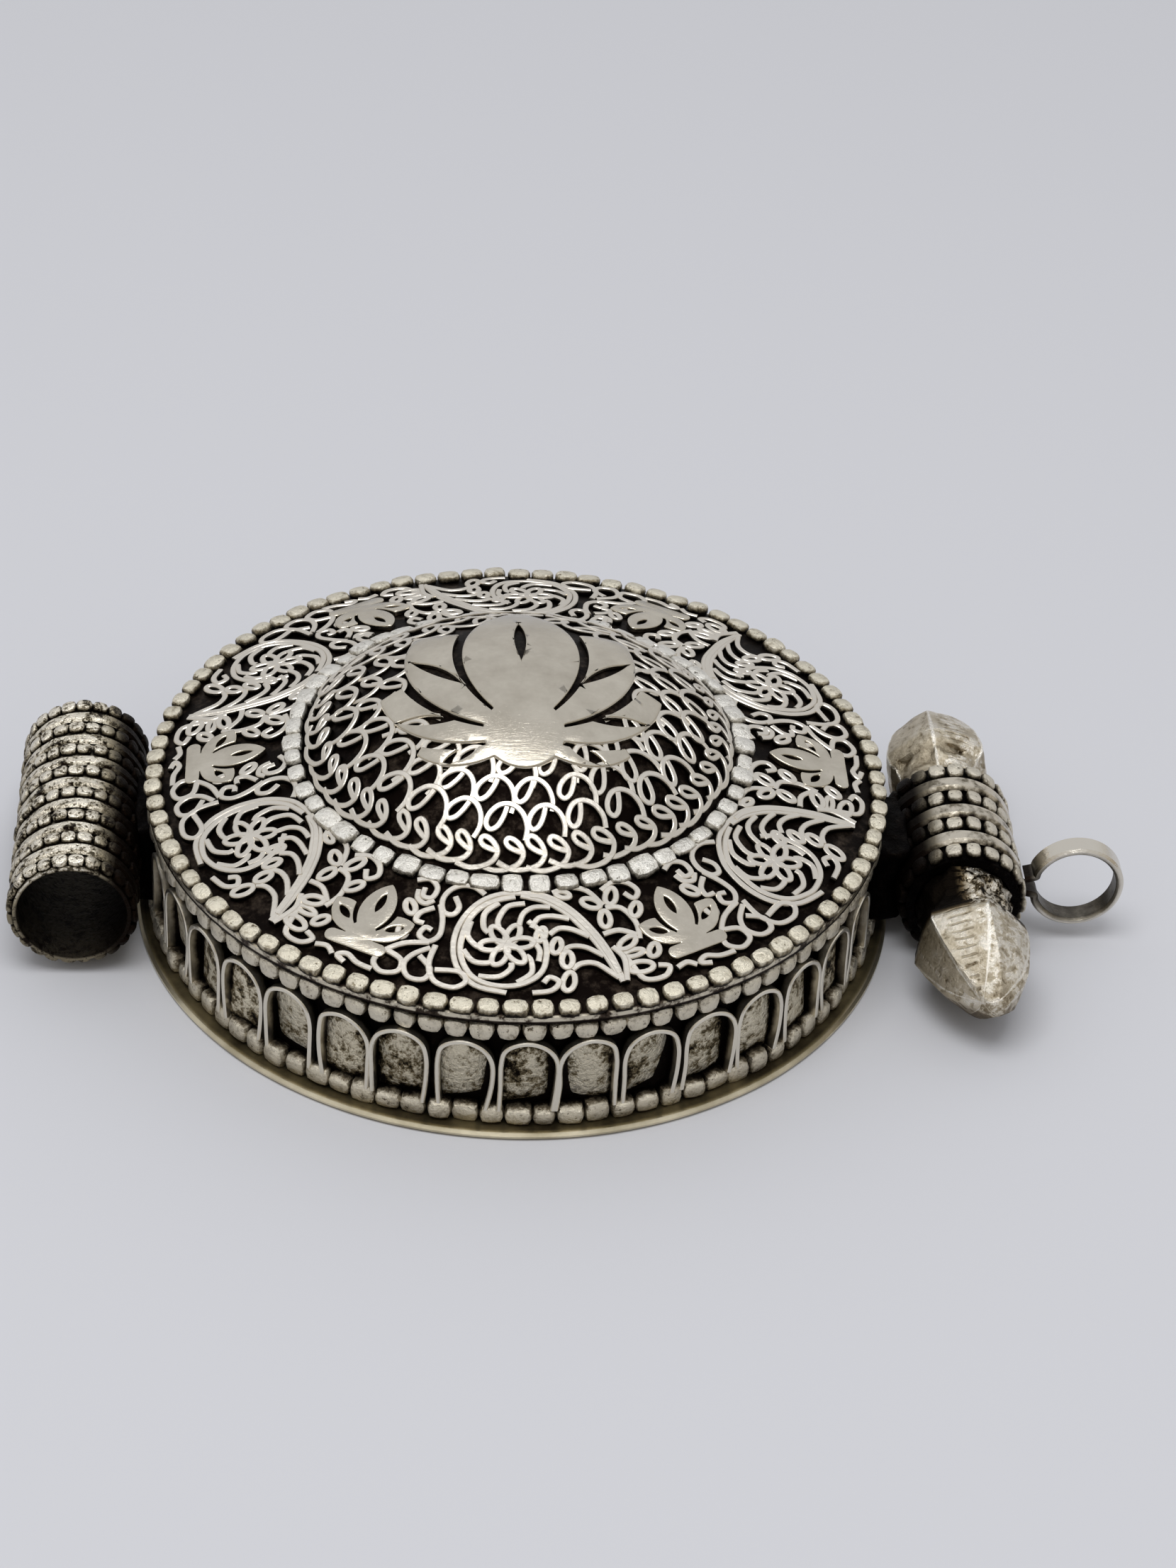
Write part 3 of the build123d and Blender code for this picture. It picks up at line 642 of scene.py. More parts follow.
def on_circle(middle, radius, degrees):
    """Point on a circle in a flat drawing."""
    return middle[0] + radius * cos(radians(degrees)), middle[1] + radius * sin(radians(degrees))


def loop(middle, length, width, lean, points=8):
    """Closed oval of wire in a flat drawing, with its long side turned by lean degrees."""
    outline = []
    for step in range(points + 1):
        turn = 2 * pi * (step % points) / points
        along = length / 2 * cos(turn)
        across = width / 2 * sin(turn)
        lean_cos = cos(radians(lean))
        lean_sin = sin(radians(lean))
        aside = along * lean_cos - across * lean_sin
        upward = along * lean_sin + across * lean_cos
        outline.append((middle[0] + aside, middle[1] + upward))
    return outline


def lay(drawing, surface, *where):
    """Lay flat wires on a surface, each at its own small height in mm, as wires that cross do."""
    lifts = (0.0, 0.018, 0.036, 0.054, 0.072)
    laid = []
    for order, wire in enumerate(drawing):
        lift = lifts[order % len(lifts)]
        laid.append([surface(along, up, lift, *where) for along, up in wire])
    return laid


wheel_hub = (-0.75, -0.35)
wheel_rim = [(-0.6, -4.75), (-2.6, -4.2), (-4.1, -2.6), (-4.7, -0.3), (-4.2, 2.2), (-2.4, 4.05), (0.1, 4.55)]
wheel_rim += [(2.4, 4.3), (3.9, 3.45), (5.05, 2.25), (6.1, 0.35), (6.7, -1.7), (6.95, -4.4)]
wheel_leaf = [(0.3, 4.3), (2.2, 3.85), (3.55, 3.0), (4.65, 1.85), (5.7, 0.0), (6.35, -1.9), (6.9, -4.4)]
wheel_ring = [(0.9, 1.9), (1.9, 0.7), (2.2, -0.9), (1.75, -2.7), (0.5, -3.85), (-1.2, -4.15), (-2.9, -3.4)]
wheel_ring += [(-3.95, -1.7), (-4.15, 0.2), (-3.65, 2.2), (-2.2, 3.55), (-0.2, 4.15)]
wheel_fill = [(1.2, 4.28), (2.3, 4.08), (3.72, 3.22), (4.85, 2.05), (5.9, 0.18), (6.5, -1.8), (6.85, -3.6)]
wheel = [wheel_rim, wheel_leaf, wheel_ring, wheel_fill]
petal_count = 6
for step in range(petal_count):
    lean = 360 / petal_count * step + 8
    wheel.append(loop(on_circle(wheel_hub, 1.08, lean), 1.9, 0.95, lean))
sickle_root = 1.75
sickle_ends = [(70, 4.2), (103, 3.95), (148, 3.5), (195, 3.2), (240, 3.45), (283, 3.5), (327, 2.75)]
sickle_sweep = [(0.0, 44), (0.3, 39), (0.75, 22), (1.0, 0)]
for degrees, reach in sickle_ends:
    sickle = []
    for share, behind in sickle_sweep:
        sickle.append(on_circle(wheel_hub, sickle_root + share * (reach - sickle_root), degrees + behind))
    wheel.append(sickle)
wheel += [
    [(0.1, 1.5), (0.5, 2.6), (1.5, 3.2), (2.9, 3.1)],
    [(1.1, 1.2), (1.75, 2.1), (2.9, 2.25), (4.3, 1.9)],
    [(2.5, 0.55), (3.3, 1.1), (4.4, 0.9), (5.5, 0.1)],
    [(3.3, -0.95), (4.1, -0.6), (5.1, -0.85), (6.2, -1.8)],
    [(3.75, -2.7), (4.5, -2.25), (5.6, -2.5), (6.75, -4.0)],
]
wheel += [
    loop((1.85, 0.6), 1.3, 0.7, 65),
    loop((2.95, -0.5), 1.35, 0.72, 75),
    loop((3.55, -1.85), 1.4, 0.75, 80),
    loop((3.4, -3.75), 1.7, 0.8, 75),
]
wire_section = (0.48, 0.56, 0.08, 0.07)
motif_count = 6
motif_start = radians(-92)
# Flat filigree wire: pale and softly shiny on top, where polishing reached it, and black down its sides
filigree_silver = worn_wire("flat_filigree_silver", ("#17110F", "#8F887C", "#DCD6CB"), (0.5, 0.37), 0.5, 0.95)
wheels = lay(wheel, on_border)
wheel_nodes = [f"rosette_{order + 1}" for order in range(motif_count)]
wire_piece(
    "border_wheels", wheels, wire_section, 0.22, filigree_silver, "filigree_silver", *wheel_nodes,
    repeats=motif_count, start=motif_start,
)

# Curls between the wheels and the plates: looped scrolls, a flower of loops and a palmette,
# each bent from the same flat wire and soldered where it touches its neighbours.
curls = [
    [
        (-2.9, 4.2), (-4.0, 4.75), (-5.25, 4.75), (-6.25, 4.1), (-6.55, 3.0),
        (-6.1, 2.05), (-5.3, 1.95), (-4.95, 2.7), (-5.5, 3.6),
    ],
    [(-6.6, 2.6), (-5.95, 1.2), (-5.85, -0.1), (-6.5, -0.9), (-7.3, -0.5), (-7.1, 0.3), (-6.5, 0.2)],
    [
        (-6.4, -1.0), (-7.9, -1.5), (-9.1, -2.6), (-9.5, -3.8),
        (-8.7, -4.6), (-7.7, -4.2), (-7.8, -3.1), (-8.9, -2.6),
    ],
    [(-6.2, -1.5), (-7.2, -2.4), (-7.5, -3.5), (-6.9, -4.5), (-5.9, -4.4), (-5.7, -3.4), (-6.7, -2.4)],
    [(-5.9, -1.2), (-5.9, -3.0), (-5.2, -4.4), (-3.9, -4.7), (-3.2, -4.0), (-3.8, -3.2), (-5.4, -3.4)],
    [(3.2, 4.5), (5.0, 4.85), (6.6, 4.3), (7.5, 2.75)],
    [(7.6, 2.5), (8.9, 2.2), (9.5, 0.6), (9.2, -0.9)],
    [(7.8, 4.2), (9.2, 4.75), (10.6, 4.3), (11.1, 3.4), (10.4, 2.8), (9.8, 3.5)],
    [(6.6, 0.2), (7.9, 0.3), (9.1, -0.5)],
    [(7.0, -1.1), (7.5, -2.4), (7.15, -4.4)],
    [(7.3, -1.6), (7.8, -2.7), (8.3, -4.5), (9.6, -4.7), (10.2, -4.0), (9.5, -3.6)],
    loop((8.5, 3.5), 1.7, 0.95, 58),
    loop((6.5, 3.1), 1.6, 0.85, 155),
    loop((7.2, 1.5), 1.5, 0.85, 72),
    loop((8.15, -1.0), 1.6, 0.8, 28),
    loop((8.3, -2.0), 1.5, 0.6, 5),
    loop((8.35, -3.4), 1.7, 1.0, -8),
    [(-9.6, 4.3), (-8.4, 4.7), (-7.4, 4.1), (-7.5, 3.1), (-8.3, 3.0), (-8.5, 3.8)],
    [(-7.0, 2.2), (-7.9, 1.5), (-8.0, 0.7), (-7.3, 0.6)],
    [(1.0, -4.75), (2.2, -4.55), (2.75, -3.8), (2.2, -3.3), (1.75, -3.85)],
    [(-7.3, 2.9), (-7.9, 2.4), (-8.7, 2.7), (-9.0, 3.5)],
    [(-9.3, -4.6), (-10.4, -4.45), (-11.3, -4.0), (-11.9, -4.4), (-11.2, -4.75)],
    [(10.6, -4.3), (11.4, -4.05), (12.0, -4.5)],
    loop((10.0, 1.7), 1.5, 0.8, 50),
    loop((-8.9, 1.7), 1.4, 0.75, 130),
    loop((-8.6, -0.5), 1.3, 0.7, 100),
    loop((9.75, -2.2), 1.3, 0.7, 60),
    loop((4.2, 4.2), 1.3, 0.6, -15),
]
laid_curls = lay(curls, on_border)
wire_piece(
    "border_scrolls", laid_curls, wire_section, 0.22, filigree_silver, "filigree_silver", "border_curls",
    repeats=motif_count, start=motif_start,
)

# Small lotus plates between the wheels and the large lotus on the crown: sheet silver sawn to shape,
# soldered down and polished by hand, so that their faces keep fine scratches and soft edges.


def softened(node, width):
    """Copy of a solid set a hair lower, with its doubles merged and its cut edges rounded off."""
    sink = 0.003 * MM
    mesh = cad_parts[node].data.copy()
    mesh.materials.clear()
    shape = bmesh.new()
    shape.from_mesh(mesh)
    bmesh.ops.remove_doubles(shape, verts=shape.verts, dist=0.002 * MM)
    bmesh.ops.dissolve_limit(shape, angle_limit=radians(1), verts=shape.verts, edges=shape.edges)
    sharp = [edge for edge in shape.edges if edge.is_manifold and edge.calc_face_angle() > radians(50)]
    bmesh.ops.bevel(shape, geom=sharp, offset=width * MM, segments=2, profile=0.5, affect="EDGES")
    bmesh.ops.translate(shape, verts=shape.verts, vec=(0, 0, -sink))
    shape.to_mesh(mesh)
    shape.free()
    smooth_faces(mesh)
    return mesh


# Polished sheet silver: warm, almost a mirror, with hand scratches and a little black at its edges
polished_sheet, add, shader, place = start_metal("polished_silver_sheet")
streaks = add("Mapping", place, Scale=(1.0, 9.0, 1.0), Rotation=(0, 0, 0.6))
scratches = add("TexNoise", Vector=streaks, Scale=1 / (1.4 * MM), Detail=4.0, Roughness=0.7)
stains = add("TexNoise", Vector=place, Scale=1 / (3.2 * MM), Detail=5.0, Roughness=0.65)
nearby = add("AmbientOcclusion", Distance=0.5 * MM, out="AO", samples=6, only_local=True)
shine = dimmed(add, add("MapRange SMOOTHSTEP", nearby, 0.35, 0.8), stains, 0.62, 1.12)
patina(add, shader, shine, ("#1A1410", "#8F8676", "#D8D1C2"), (0.42, 0.17), scratches, 0.02)
for order in range(motif_count):
    node = f"ornament_plate_{order + 1}"
    name = f"jewel_plate_{order + 1}"
    place_piece(name, softened(node, 0.1), polished_sheet, "front_shell", "polished_sheet", node)
lotus = softened("dome_emblem", 0.14)
place_piece("dome_lotus", lotus, polished_sheet, "front_shell", "polished_sheet", "dome_emblem")

# Dome filigree: rows of hooked wires that climb the dome like scales. Those of the lowest row
# trail along the foot of the dome, and the others arch over a small loop.


def on_dome(along, up, lift, tilt):
    """Place on the dome, in mm along and up from a row at this tilt from the axis."""
    lean = tilt - up * MM / dome_ball
    turn = along * MM / (dome_ball * sin(tilt))
    top = Vector((sin(lean) * cos(turn), sin(lean) * sin(turn), cos(lean)))
    return dome_centre + top * (dome_ball + lift * MM), top


trailing_hook = [(-2.6, -1.0), (-1.6, -1.35), (-0.6, -1.25), (0.2, -0.85), (0.58, -0.2), (0.4, 0.45)]
trailing_hook += [(-0.05, 0.95), (-0.5, 1.1), (-0.72, 0.8), (-0.5, 0.4), (0.0, 0.1), (0.5, -0.1)]
arched_hook = [(1.3, -1.6), (1.5, -0.6), (1.25, 0.5), (0.5, 1.2), (-0.5, 1.2), (-1.25, 0.5), (-1.45, -0.3)]
arched_hook += [(-1.1, -0.75), (-0.6, -0.45), (-0.2, 0.3), (0.05, 1.05)]
# Rows of hooks: name, hook, distance from the axis in mm, count, height of the wire and solids replaced
hook_rows = [("lowest", trailing_hook, 15.75, 54, 0.56, ["dome_scales_1"])]
hook_rows += [("second", arched_hook, 13.9, 28, 0.56, ["dome_scales_2"])]
hook_rows += [("third", arched_hook, 12.1, 25, 0.42, ["dome_scales_3"])]
hook_rows += [("inner", arched_hook, 10.2, 21, 0.36, [])]
hand = Random(29)
for order, (name, hook, row_radius, count, height, nodes) in enumerate(hook_rows):
    tilt = asin(row_radius * MM / dome_ball)
    drawing = []
    for step in range(count):
        middle = 2 * pi * row_radius * (step + 0.5 * order) / count + hand.uniform(-0.18, 0.18)
        lean = hand.uniform(-0.14, 0.14)
        size = hand.uniform(0.9, 1.1)
        lean_cos = size * cos(lean)
        lean_sin = size * sin(lean)
        wire = []
        for along, up in hook:
            wire.append((middle + along * lean_cos - up * lean_sin, along * lean_sin + up * lean_cos))
        drawing.append(wire)
    hooks = lay(drawing, on_dome, tilt)
    section = (0.45, height, 0.08, 0.07)
    wire_piece("dome_hooks_" + name, hooks, section, 0.2, filigree_silver, "filigree_silver", *nodes)

# Cord tube: a thin tube of sheet silver, open at both ends for the cord, dressed with rings of
# beaded and plain wire in turn and soldered to the wall through a saddle, all heavily blackened.
tube_low, tube_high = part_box("cord_tube")
tube_middle = (tube_low + tube_high) / 2
tube_radius = (tube_high.x - tube_low.x) / 2
tube_length = tube_high.y - tube_low.y
tube_ring_count = 15
tube_pitch = tube_length / tube_ring_count
tube_bore = 4.3 * MM

# Unpolished oxidised silver: cream-grey, black in its pits, painted lighter on top and darker below as
# lit from above, with painted shade inside the bore and oxide and painted shade on the side towards the box
stained_silver, add, shader, place = start_metal("stained_tube_silver")
stains = add("TexNoise", Vector=place, Scale=1 / (1.5 * MM), Detail=6.0, Roughness=0.75)
pits = add("TexNoise", Vector=place, Scale=1 / (0.45 * MM), Detail=4.0, Roughness=0.7)
nearby = add("AmbientOcclusion", Distance=0.8 * MM, out="AO", samples=6)
shine = add("MapRange SMOOTHSTEP", nearby, 0.45, 0.85)
shine = add("Math MULTIPLY", shine, add("MapRange SMOOTHSTEP", stains, 0.39, 0.5))
shine = dimmed(add, shine, add("MapRange SMOOTHSTEP", pits, 0.38, 0.47), 0.15, 1.0)
# Oxide and painted shade on the side that faces the box
shine = darkened_along_x(add, place, shine, (tube_middle.x + 3.6 * MM, tube_middle.x + 0.8 * MM))
axes = add("SeparateXYZ", place).node.outputs
# Painted light: brighter towards the top of the tube and darker below
painted_top_light = add("MapRange SMOOTHSTEP", axes["Z"], tube_middle.z - 0.5 * MM, tube_middle.z + 4.4 * MM)
shine = dimmed(add, shine, painted_top_light, 0.35, 1.1)
# Painted shade inside the bore
across = add("Math SUBTRACT", axes["X"], tube_middle.x)
upward = add("Math SUBTRACT", axes["Z"], tube_middle.z)
outside = add("MapRange SMOOTHSTEP", from_axis(add, across, upward), tube_bore, tube_bore + 0.25 * MM)
shine = dimmed(add, shine, outside, 0.06, 1.0)
patina(add, shader, shine, ("#1A130E", "#A0967F", "#F2EBDB"), (0.55, 0.24), pits, 0.2)
coat(stained_silver, "cord_tube")


def beaded_rings(name, shape, start, radius, pitch, sizes):
    """Beaded rings about an axis along Y that begins at start, one at every other pitch."""
    rings = {"Radius": radius, "Rise": pitch / 2, "Pitch": 2 * pitch, "Turn": (-pi / 2, 0.0, 0.0)}
    rings |= {"Place": start, "Place Jitter": 0.03 * MM}
    return grow_rings(name, shape, rings | sizes)


def plain_rings(start, radius, pitch, count, points=40):
    """Paths of the plain rings that lie between the beaded ones, about the same axis."""
    rings = []
    for order in range(count):
        ring = []
        for step in range(points + 1):
            turn = 2 * pi * (step % points) / points
            around = Vector((cos(turn), 0, sin(turn)))
            ring.append((start + Vector((0, (2 * order + 1.5) * pitch, 0)) + around * radius, around))
        rings.append(ring)
    return rings


tube_start = Vector((tube_middle.x, tube_low.y, tube_middle.z))
tube_pebble = pebble("tube_pebble", 0.64, 0.6, 0.5, 2.8)
tube_rows = {"Count": 24, "Rings": 8, "Stagger": 0.37, "Size Jitter": 0.1, "Seed": 21}
tube_rows |= {"Material": stained_silver}
tube_beads = beaded_rings("tube_bead_wires", tube_pebble, tube_start, tube_radius, tube_pitch, tube_rows)
place_piece("tube_bead_wires", tube_beads, None, "front_shell", "tube_silver", "tube_bead_rings")
tube_rings = plain_rings(tube_start, tube_radius, tube_pitch, 7)
tube_section = (1.2, 0.5, 0.1, 0.25)
wire_piece(
    "tube_plain_wires", tube_rings, tube_section, 0.4,
    stained_silver, "tube_silver", "tube_plain_rings",
)

# Saddles: blocks of silver buried in solder that hold the tube and the bar to the wall, left lumpy
# and black from the torch.

# Burnt solder: a lumpy soot black that hardly shines
black_solder, add, shader, place = start_metal("black_solder")
lumps = add("TexNoise", Vector=place, Scale=1 / (0.9 * MM), Detail=5.0, Roughness=0.7)
shine = add("MapRange SMOOTHSTEP", lumps, 0.45, 0.85)
patina(add, shader, shine, ("#070505", "#130F0C", "#3B342C"), (0.7, 0.5), lumps, 0.35)
lump_size = 1.6 * MM
lump_height = 0.35 * MM
smooth_passes = 4
all_ways = {"use_axis_x": True, "use_axis_y": True, "use_axis_z": True}
for node in ("tube_saddle", "bar_saddle"):
    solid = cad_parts[node].data.copy()
    solid.materials.clear()
    shape = bmesh.new()
    shape.from_mesh(solid)
    bmesh.ops.remove_doubles(shape, verts=shape.verts, dist=0.002 * MM)
    long_edges = [edge for edge in shape.edges if edge.calc_length() > lump_size / 2]
    bmesh.ops.subdivide_edges(shape, edges=long_edges, cuts=7, use_grid_fill=True)
    for _ in range(smooth_passes):
        bmesh.ops.smooth_vert(shape, verts=shape.verts, factor=0.5, **all_ways)
    shape.normal_update()
    for vert in shape.verts:
        vert.co += vert.normal * lump_height * noise.noise(vert.co / lump_size)
    bmesh.ops.recalc_face_normals(shape, faces=shape.faces)
    shape.to_mesh(solid)
    shape.free()
    solid.shade_smooth()
    place_piece(node + "_solder", solid, black_solder, "front_shell", "oxidised_sheet", node)

# Bar: a short barrel dressed with rings of square beads and rounded bands, on the side away from
# the tube, with a cast bud plugged into each end. The barrel itself is as black as the solder.
bar_low, bar_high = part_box("bar_barrel")
bar_middle = (bar_low + bar_high) / 2
bar_radius = (bar_high.x - bar_low.x) / 2
bar_pitch = (bar_high.y - bar_low.y) / 7
# Span along X over which the bar darkens towards the box: partly oxide, partly painted shade
bar_oxide_and_shade = (bar_middle.x - 3.4 * MM, bar_middle.x - 1.4 * MM)
coat(black_solder, "bar_barrel")

# Squared shot: grey on top with black gaps, and darker on the side towards the box, partly oxide and
# partly painted shade
bar_shot = shot_silver("squared_silver_shot", ("#15100D", "#7C7464", "#D9D2C2"), bar_oxide_and_shade)
bar_pebble = pebble("bar_pebble", 0.66, 0.72, 0.58, 3.6)
bar_start = Vector((bar_middle.x, bar_low.y, bar_middle.z))
bar_rows = {"Count": 20, "Rings": 4, "Stagger": 0.3, "Size Jitter": 0.08, "Seed": 31, "Material": bar_shot}
bar_beads = beaded_rings("bar_bead_wires", bar_pebble, bar_start, bar_radius, bar_pitch, bar_rows)
place_piece("bar_bead_wires", bar_beads, None, "front_shell", "bead_silver", "bar_bead_rings")

# Rounded bands: grey silver worn in patches, so that black shows through along them, and darker on the
# side towards the box, partly oxide and partly painted shade
band_tones = ("#17110E", "#7E7666", "#D2CABA")
band_silver = worn_wire("rounded_silver_band", band_tones, (0.5, 0.26), 0.3, 1.15, bar_oxide_and_shade, 2.4)
bar_bands = plain_rings(bar_start, bar_radius, bar_pitch, 3)
band_section = (1.6, 0.62, 0.1, 0.31)
wire_piece("bar_bands", bar_bands, band_section, 0.2, band_silver, "bead_silver", "bar_plain_bands")

# Finials: six-sided buds cast in silver alloy, filed across their faces and left lumpy and black
# at the neck. A tenon on each goes into the barrel.

# Cast silver alloy: cream on its filed faces and crusted black at the neck, with a painted highlight along
# its ridges, painted shade on its underside and a painted difference in light from face to face
cast_silver, add, shader, place = start_metal("cast_silver_alloy")
pits = add("TexNoise", Vector=place, Scale=1 / (0.7 * MM), Detail=6.0, Roughness=0.75)
clouds = add("TexNoise", Vector=place, Scale=1 / (2.2 * MM), Detail=5.0, Roughness=0.65)
nearby = add("AmbientOcclusion", Distance=1.2 * MM, out="AO", samples=6)
# Each of the six faces has its own tone, painted as the differing light that each face catches, and
# some of them are filed
bud_turn = radians(19)
axes = add("SeparateXYZ", place).node.outputs
ahead = add("Math SUBTRACT", bar_middle.y, axes["Y"])
around = add("Math SUBTRACT", axes["X"], bar_middle.x)
around = add("Math ARCTAN2", add("Math SUBTRACT", axes["Z"], bar_middle.z), around)
around = add("Math MULTIPLY_ADD", add("Math SIGN", ahead), -bud_turn, around)
face = add("Math FLOOR", add("Math DIVIDE", around, pi / 3))
face = add("Math FRACT", add("Math MULTIPLY", add("Math SINE", add("Math ADD", face, 2.0)), 3.7))
beside = add("Math PINGPONG", around, pi / 6)
across = add("Math FRACT", add("Math DIVIDE", around, pi / 3))
filed = add("MapRange SMOOTHSTEP", across, 0.25, 0.35)
filed = add("Math MULTIPLY", filed, add("MapRange SMOOTHSTEP", across, 0.8, 0.7))
filed = add("Math MULTIPLY", filed, add("Math GREATER_THAN", face, 0.5))
shine = add("Math MULTIPLY_ADD", clouds, 0.9, add("Math MULTIPLY_ADD", face, 0.3, 0.05))
shine = dimmed(add, shine, add("MapRange SMOOTHSTEP", pits, 0.3, 0.5), 0.55, 1.0)
shine = add("Math MULTIPLY", shine, add("MapRange SMOOTHSTEP", nearby, 0.3, 0.95))
# Crusted black at the neck, from the barrel to the shoulder of the near bud
neck = (bar_high.y - bar_low.y) / 2
shoulder = neck + 5.6 * MM
bare = add("MapRange SMOOTHSTEP", ahead, shoulder - 1.0 * MM, shoulder - 0.1 * MM)
bare = add("Math ADD", add("MapRange SMOOTHSTEP", ahead, neck, 0.0), bare)
crust = add("MapRange SMOOTHSTEP", pits, 0.43, 0.52)
crust = add("Math MULTIPLY", crust, add("MapRange SMOOTHSTEP", clouds, 0.35, 0.5))
crust = darkened_along_x(add, place, crust, (bar_middle.x - 1.2 * MM, bar_middle.x + 0.2 * MM))
shine = add("Math MAXIMUM", add("Math MULTIPLY", shine, bare), add("Math MULTIPLY", crust, 0.8))
# Painted highlight along the ridges between the faces
ridge_highlight = add("Math MULTIPLY", add("MapRange SMOOTHSTEP", beside, radians(3), 0.0), bare)
shine = add("Math MULTIPLY_ADD", ridge_highlight, 0.35, shine)
# File marks across the faces. A wave is 2 pi / 20 long at a scale of 1
file_pitch = 0.7 * MM
file_scale = 2 * pi / (20 * file_pitch)
filing = add("TexWave", place, file_scale, Distortion=2.0, Detail=2.0, out="Fac", bands_direction="Y")
filed = add("Math MULTIPLY", add("MapRange SMOOTHSTEP", filing, 0.72, 1.0), filed)
# Painted shade on the underside of the bud
under = add("MapRange SMOOTHSTEP", axes["Z"], bar_middle.z - 3.4 * MM, bar_middle.z + 0.4 * MM)
shine = dimmed(add, shine, under, 0.3, 1.15)
shine = add("Math MULTIPLY_ADD", filed, -0.2, shine)
grain = add("Math MULTIPLY_ADD", filed, -0.3, pits)
patina(add, shader, shine, ("#14100C", "#6A5B43", "#C0B59F", "#F3EEE3"), (0.5, 0.22), grain, 0.18)
bud_sides = 6
bud_steps = 72
# Along the bud from the end of its tenon, in shares of its length: girth and how faceted it is
bud_stations = [(0.0, 0.78, 0), (0.105, 0.78, 0), (0.11, 0.87, 0), (0.16, 0.85, 0), (0.21, 0.82, 0.1)]
bud_stations += [(0.265, 0.83, 0.3), (0.3, 0.85, 0.5), (0.36, 0.9, 0.75), (0.43, 0.97, 0.85)]
bud_stations += [(0.503, 1.0, 0.85), (0.56, 0.97, 0.85), (0.65, 0.9, 0.85), (0.74, 0.8, 0.85)]
bud_stations += [(0.8, 0.71, 0.85), (0.86, 0.58, 0.85)]
bud_stations += [(0.92, 0.41, 0.8), (0.96, 0.28, 0.7), (0.985, 0.18, 0.5), (0.997, 0.09, 0.3), (1.0, 0.0, 0)]
bud_spacing = 0.02
bud_sections = []
for first, last in zip(bud_stations, bud_stations[1:]):
    parts = max(1, round((last[0] - first[0]) / bud_spacing))
    for part in range(parts):
        bud_sections.append([here + (there - here) * part / parts for here, there in zip(first, last)])
bud_sections.append(bud_stations[-1])
bud_shoulder = 0.503
bud_neck = (0.105, 0.4)
bud_facet = 0.94
neck_lumps = 0.5 * MM
face_lumps = 0.1 * MM
bud_lump = 1.7 * MM
for node, side, tip_shift in (("finial_near", -1, (1.2, -0.4)), ("finial_far", 1, (0.0, 0.0))):
    low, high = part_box(node)
    tip = low.y if side < 0 else high.y
    root = high.y if side < 0 else low.y
    length = abs(tip - root)
    girth = (high.x - low.x) / 2 / cos(bud_turn)
    verts = []
    faces = []
    for share, wide, facet in bud_sections:
        for step in range(bud_steps):
            turn = 2 * pi * step / bud_steps - side * bud_turn
            within = (2 * pi * step / bud_steps) % (2 * pi / bud_sides) - pi / bud_sides
            flat = cos(pi / bud_sides) / cos(within)
            radius = girth * wide * (1 + facet * bud_facet * (flat - 1))
            spot = Vector((radius * cos(turn), side * share * length, radius * sin(turn)))
            lumps = neck_lumps if bud_neck[0] < share < bud_neck[1] else face_lumps
            bulge = noise.fractal(spot / bud_lump, 0.8, 2.0, 3) - 0.6
            swell = 1 + bulge * lumps / (girth * max(wide, 0.3))
            lean = MM * max(0.0, share - bud_shoulder) / (1 - bud_shoulder)
            aside = spot.x * swell + tip_shift[0] * lean
            upward = spot.z * swell + tip_shift[1] * lean
            verts.append(Vector(((low.x + high.x) / 2 + aside, root + spot.y, (low.z + high.z) / 2 + upward)))
    for ring in range(len(bud_sections) - 1):
        for step in range(bud_steps):
            here = ring * bud_steps + step
            after = ring * bud_steps + (step + 1) % bud_steps
            faces.append((here, after, after + bud_steps, here + bud_steps))
    faces.append(tuple(range(bud_steps)))
    bud = finish_mesh(node + "_bud", verts, faces)
    place_piece(node + "_bud", bud, cast_silver, "front_shell", "cast_finial", node)

# Hanging ring: a flat silver band bent to a loop, pinched together at its foot and soldered to
# the bar, with its faces rubbed smooth by the chain it hangs from.
hoop_low, hoop_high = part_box("hanging_ring")
hoop_band = 0.62
hoop_radius = (hoop_high.z - hoop_low.z) / 2 - hoop_band * MM
hoop_width = (hoop_high.y - hoop_low.y) / MM
hoop_x = hoop_high.x - hoop_radius - 1.05 * hoop_band * MM
hoop_middle = Vector((hoop_x, (hoop_low.y + hoop_high.y) / 2, bar_middle.z))
hoop_gap = 24
hoop_steps = 28
hoop = []
for step in range(hoop_steps + 1):
    turn = radians(180 - hoop_gap / 2 - (360 - hoop_gap) * step / hoop_steps)
    around = Vector((cos(turn), 0, sin(turn)))
    hoop.append((hoop_middle + around * hoop_radius, around))
foot_spread = 0.35 * MM
for end, sign in ((0, 1), (len(hoop) + 1, -1)):
    foot = Vector((hoop_low.x + 0.1 * MM, hoop_middle.y, hoop_middle.z + sign * foot_spread))
    hoop.insert(end, (foot, Vector((0, 0, sign))))
hoop_soot = (hoop_low.x + 0.3 * MM, hoop_low.x + 1.9 * MM)

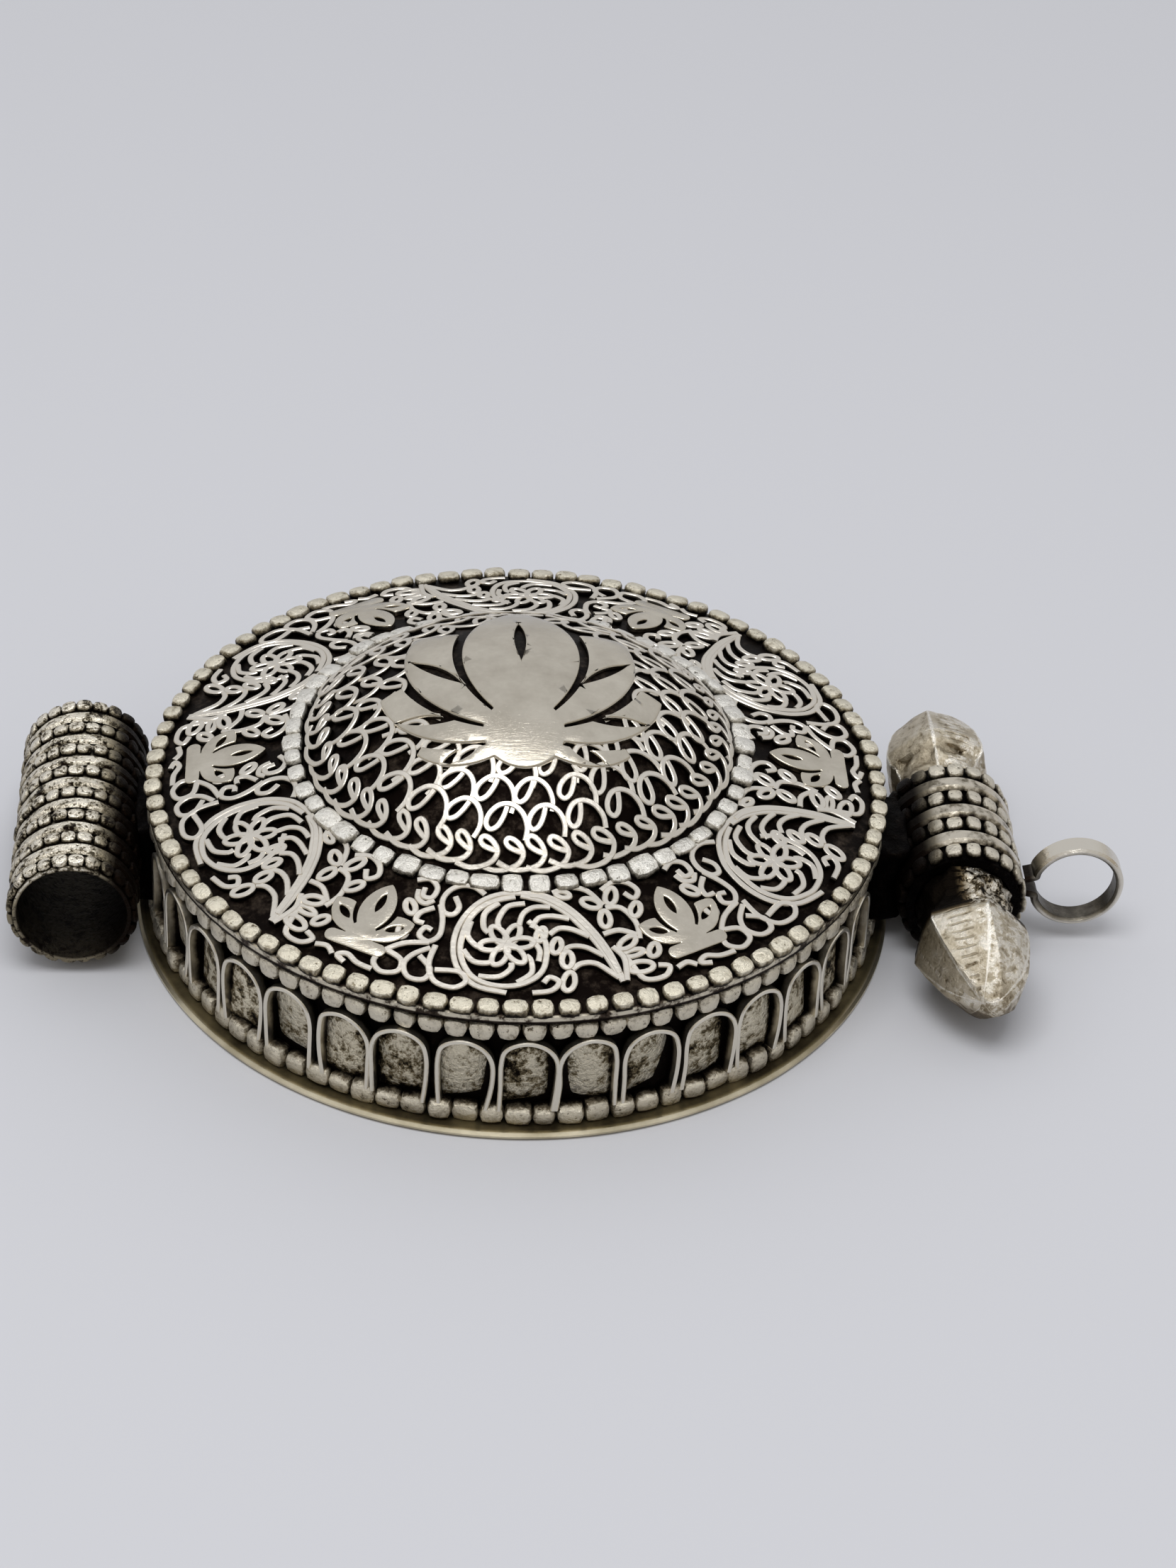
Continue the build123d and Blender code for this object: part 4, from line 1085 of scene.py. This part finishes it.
# Rubbed flat band: smooth grey silver with a soft shine, and black at its soldered foot
hoop_tones = ("#1B1511", "#8F897D", "#D8D2C6")
ring_silver = worn_wire("rubbed_silver_band", hoop_tones, (0.42, 0.2), -0.25, 0.8, hoop_soot)
hoop_section = (hoop_width, hoop_band, 0.0, 0.2)
wire_piece("hanging_hoop", [hoop], hoop_section, 0.05, ring_silver, "ring_silver", "hanging_ring")

# Floor: a wide sheet of pale grey paper, laid flat under the box and far past the picture's edges,
# as for a catalogue photograph.
floor_half = 1.5
floor_mesh = bpy.data.meshes.new("paper_floor")
floor_corners = [(floor_half * x, floor_half * y, 0) for x, y in ((-1, -1), (1, -1), (1, 1), (-1, 1))]
floor_mesh.from_pydata(floor_corners, [], [(0, 1, 2, 3)])
floor = bpy.data.objects.new("paper_floor", floor_mesh)
bpy.context.scene.collection.objects.link(floor)

# Pale grey paper: matt and even, so that only the soft shadow shows on it
paper = bpy.data.materials.new("pale_grey_paper")
paper.use_nodes = True
paper_shader = paper.node_tree.nodes["Principled BSDF"]
paper_shader.inputs["Roughness"].default_value = 0.85
paper_shader.inputs["Base Color"].default_value = colour("#C6C7CC")
floor_mesh.materials.append(paper)

# Studio light: a pale room, darker below and warmer in its middle, and one softbox above and in
# front of the box, a little to the left.
world = bpy.data.worlds.new("studio")
bpy.context.scene.world = world
world.use_nodes = True
add = partial(add_node, world.node_tree)
sky = add("TexCoord", out="Generated")
axes = add("SeparateXYZ", sky).node.outputs
bright = add("Math MULTIPLY_ADD", axes["Y"], 0.35, axes["Z"])
bright = add("MapRange SMOOTHSTEP", bright, -0.5, 0.75)
tint = add("ValToRGB", bright)
tint.node.color_ramp.elements[0].color = colour("#665F54")
tint.node.color_ramp.elements.new(0.4).color = colour("#B5AC9C")
tint.node.color_ramp.elements[-1].color = colour("#DADBDE")
world.node_tree.links.new(tint, world.node_tree.nodes["Background"].inputs["Color"])

softbox = bpy.data.objects.new("softbox", bpy.data.lights.new("softbox", "AREA"))
softbox.data.shape = "RECTANGLE"
softbox.data.size = 0.4
softbox.data.size_y = 0.28
softbox.data.energy = 1.75
softbox.location = (-0.05, -0.14, 0.58)
softbox.rotation_euler = (Vector((0, 0, 0)) - softbox.location).to_track_quat("-Z", "Y").to_euler()
bpy.context.scene.collection.objects.link(softbox)
bpy.context.scene.view_settings.view_transform = "Standard"
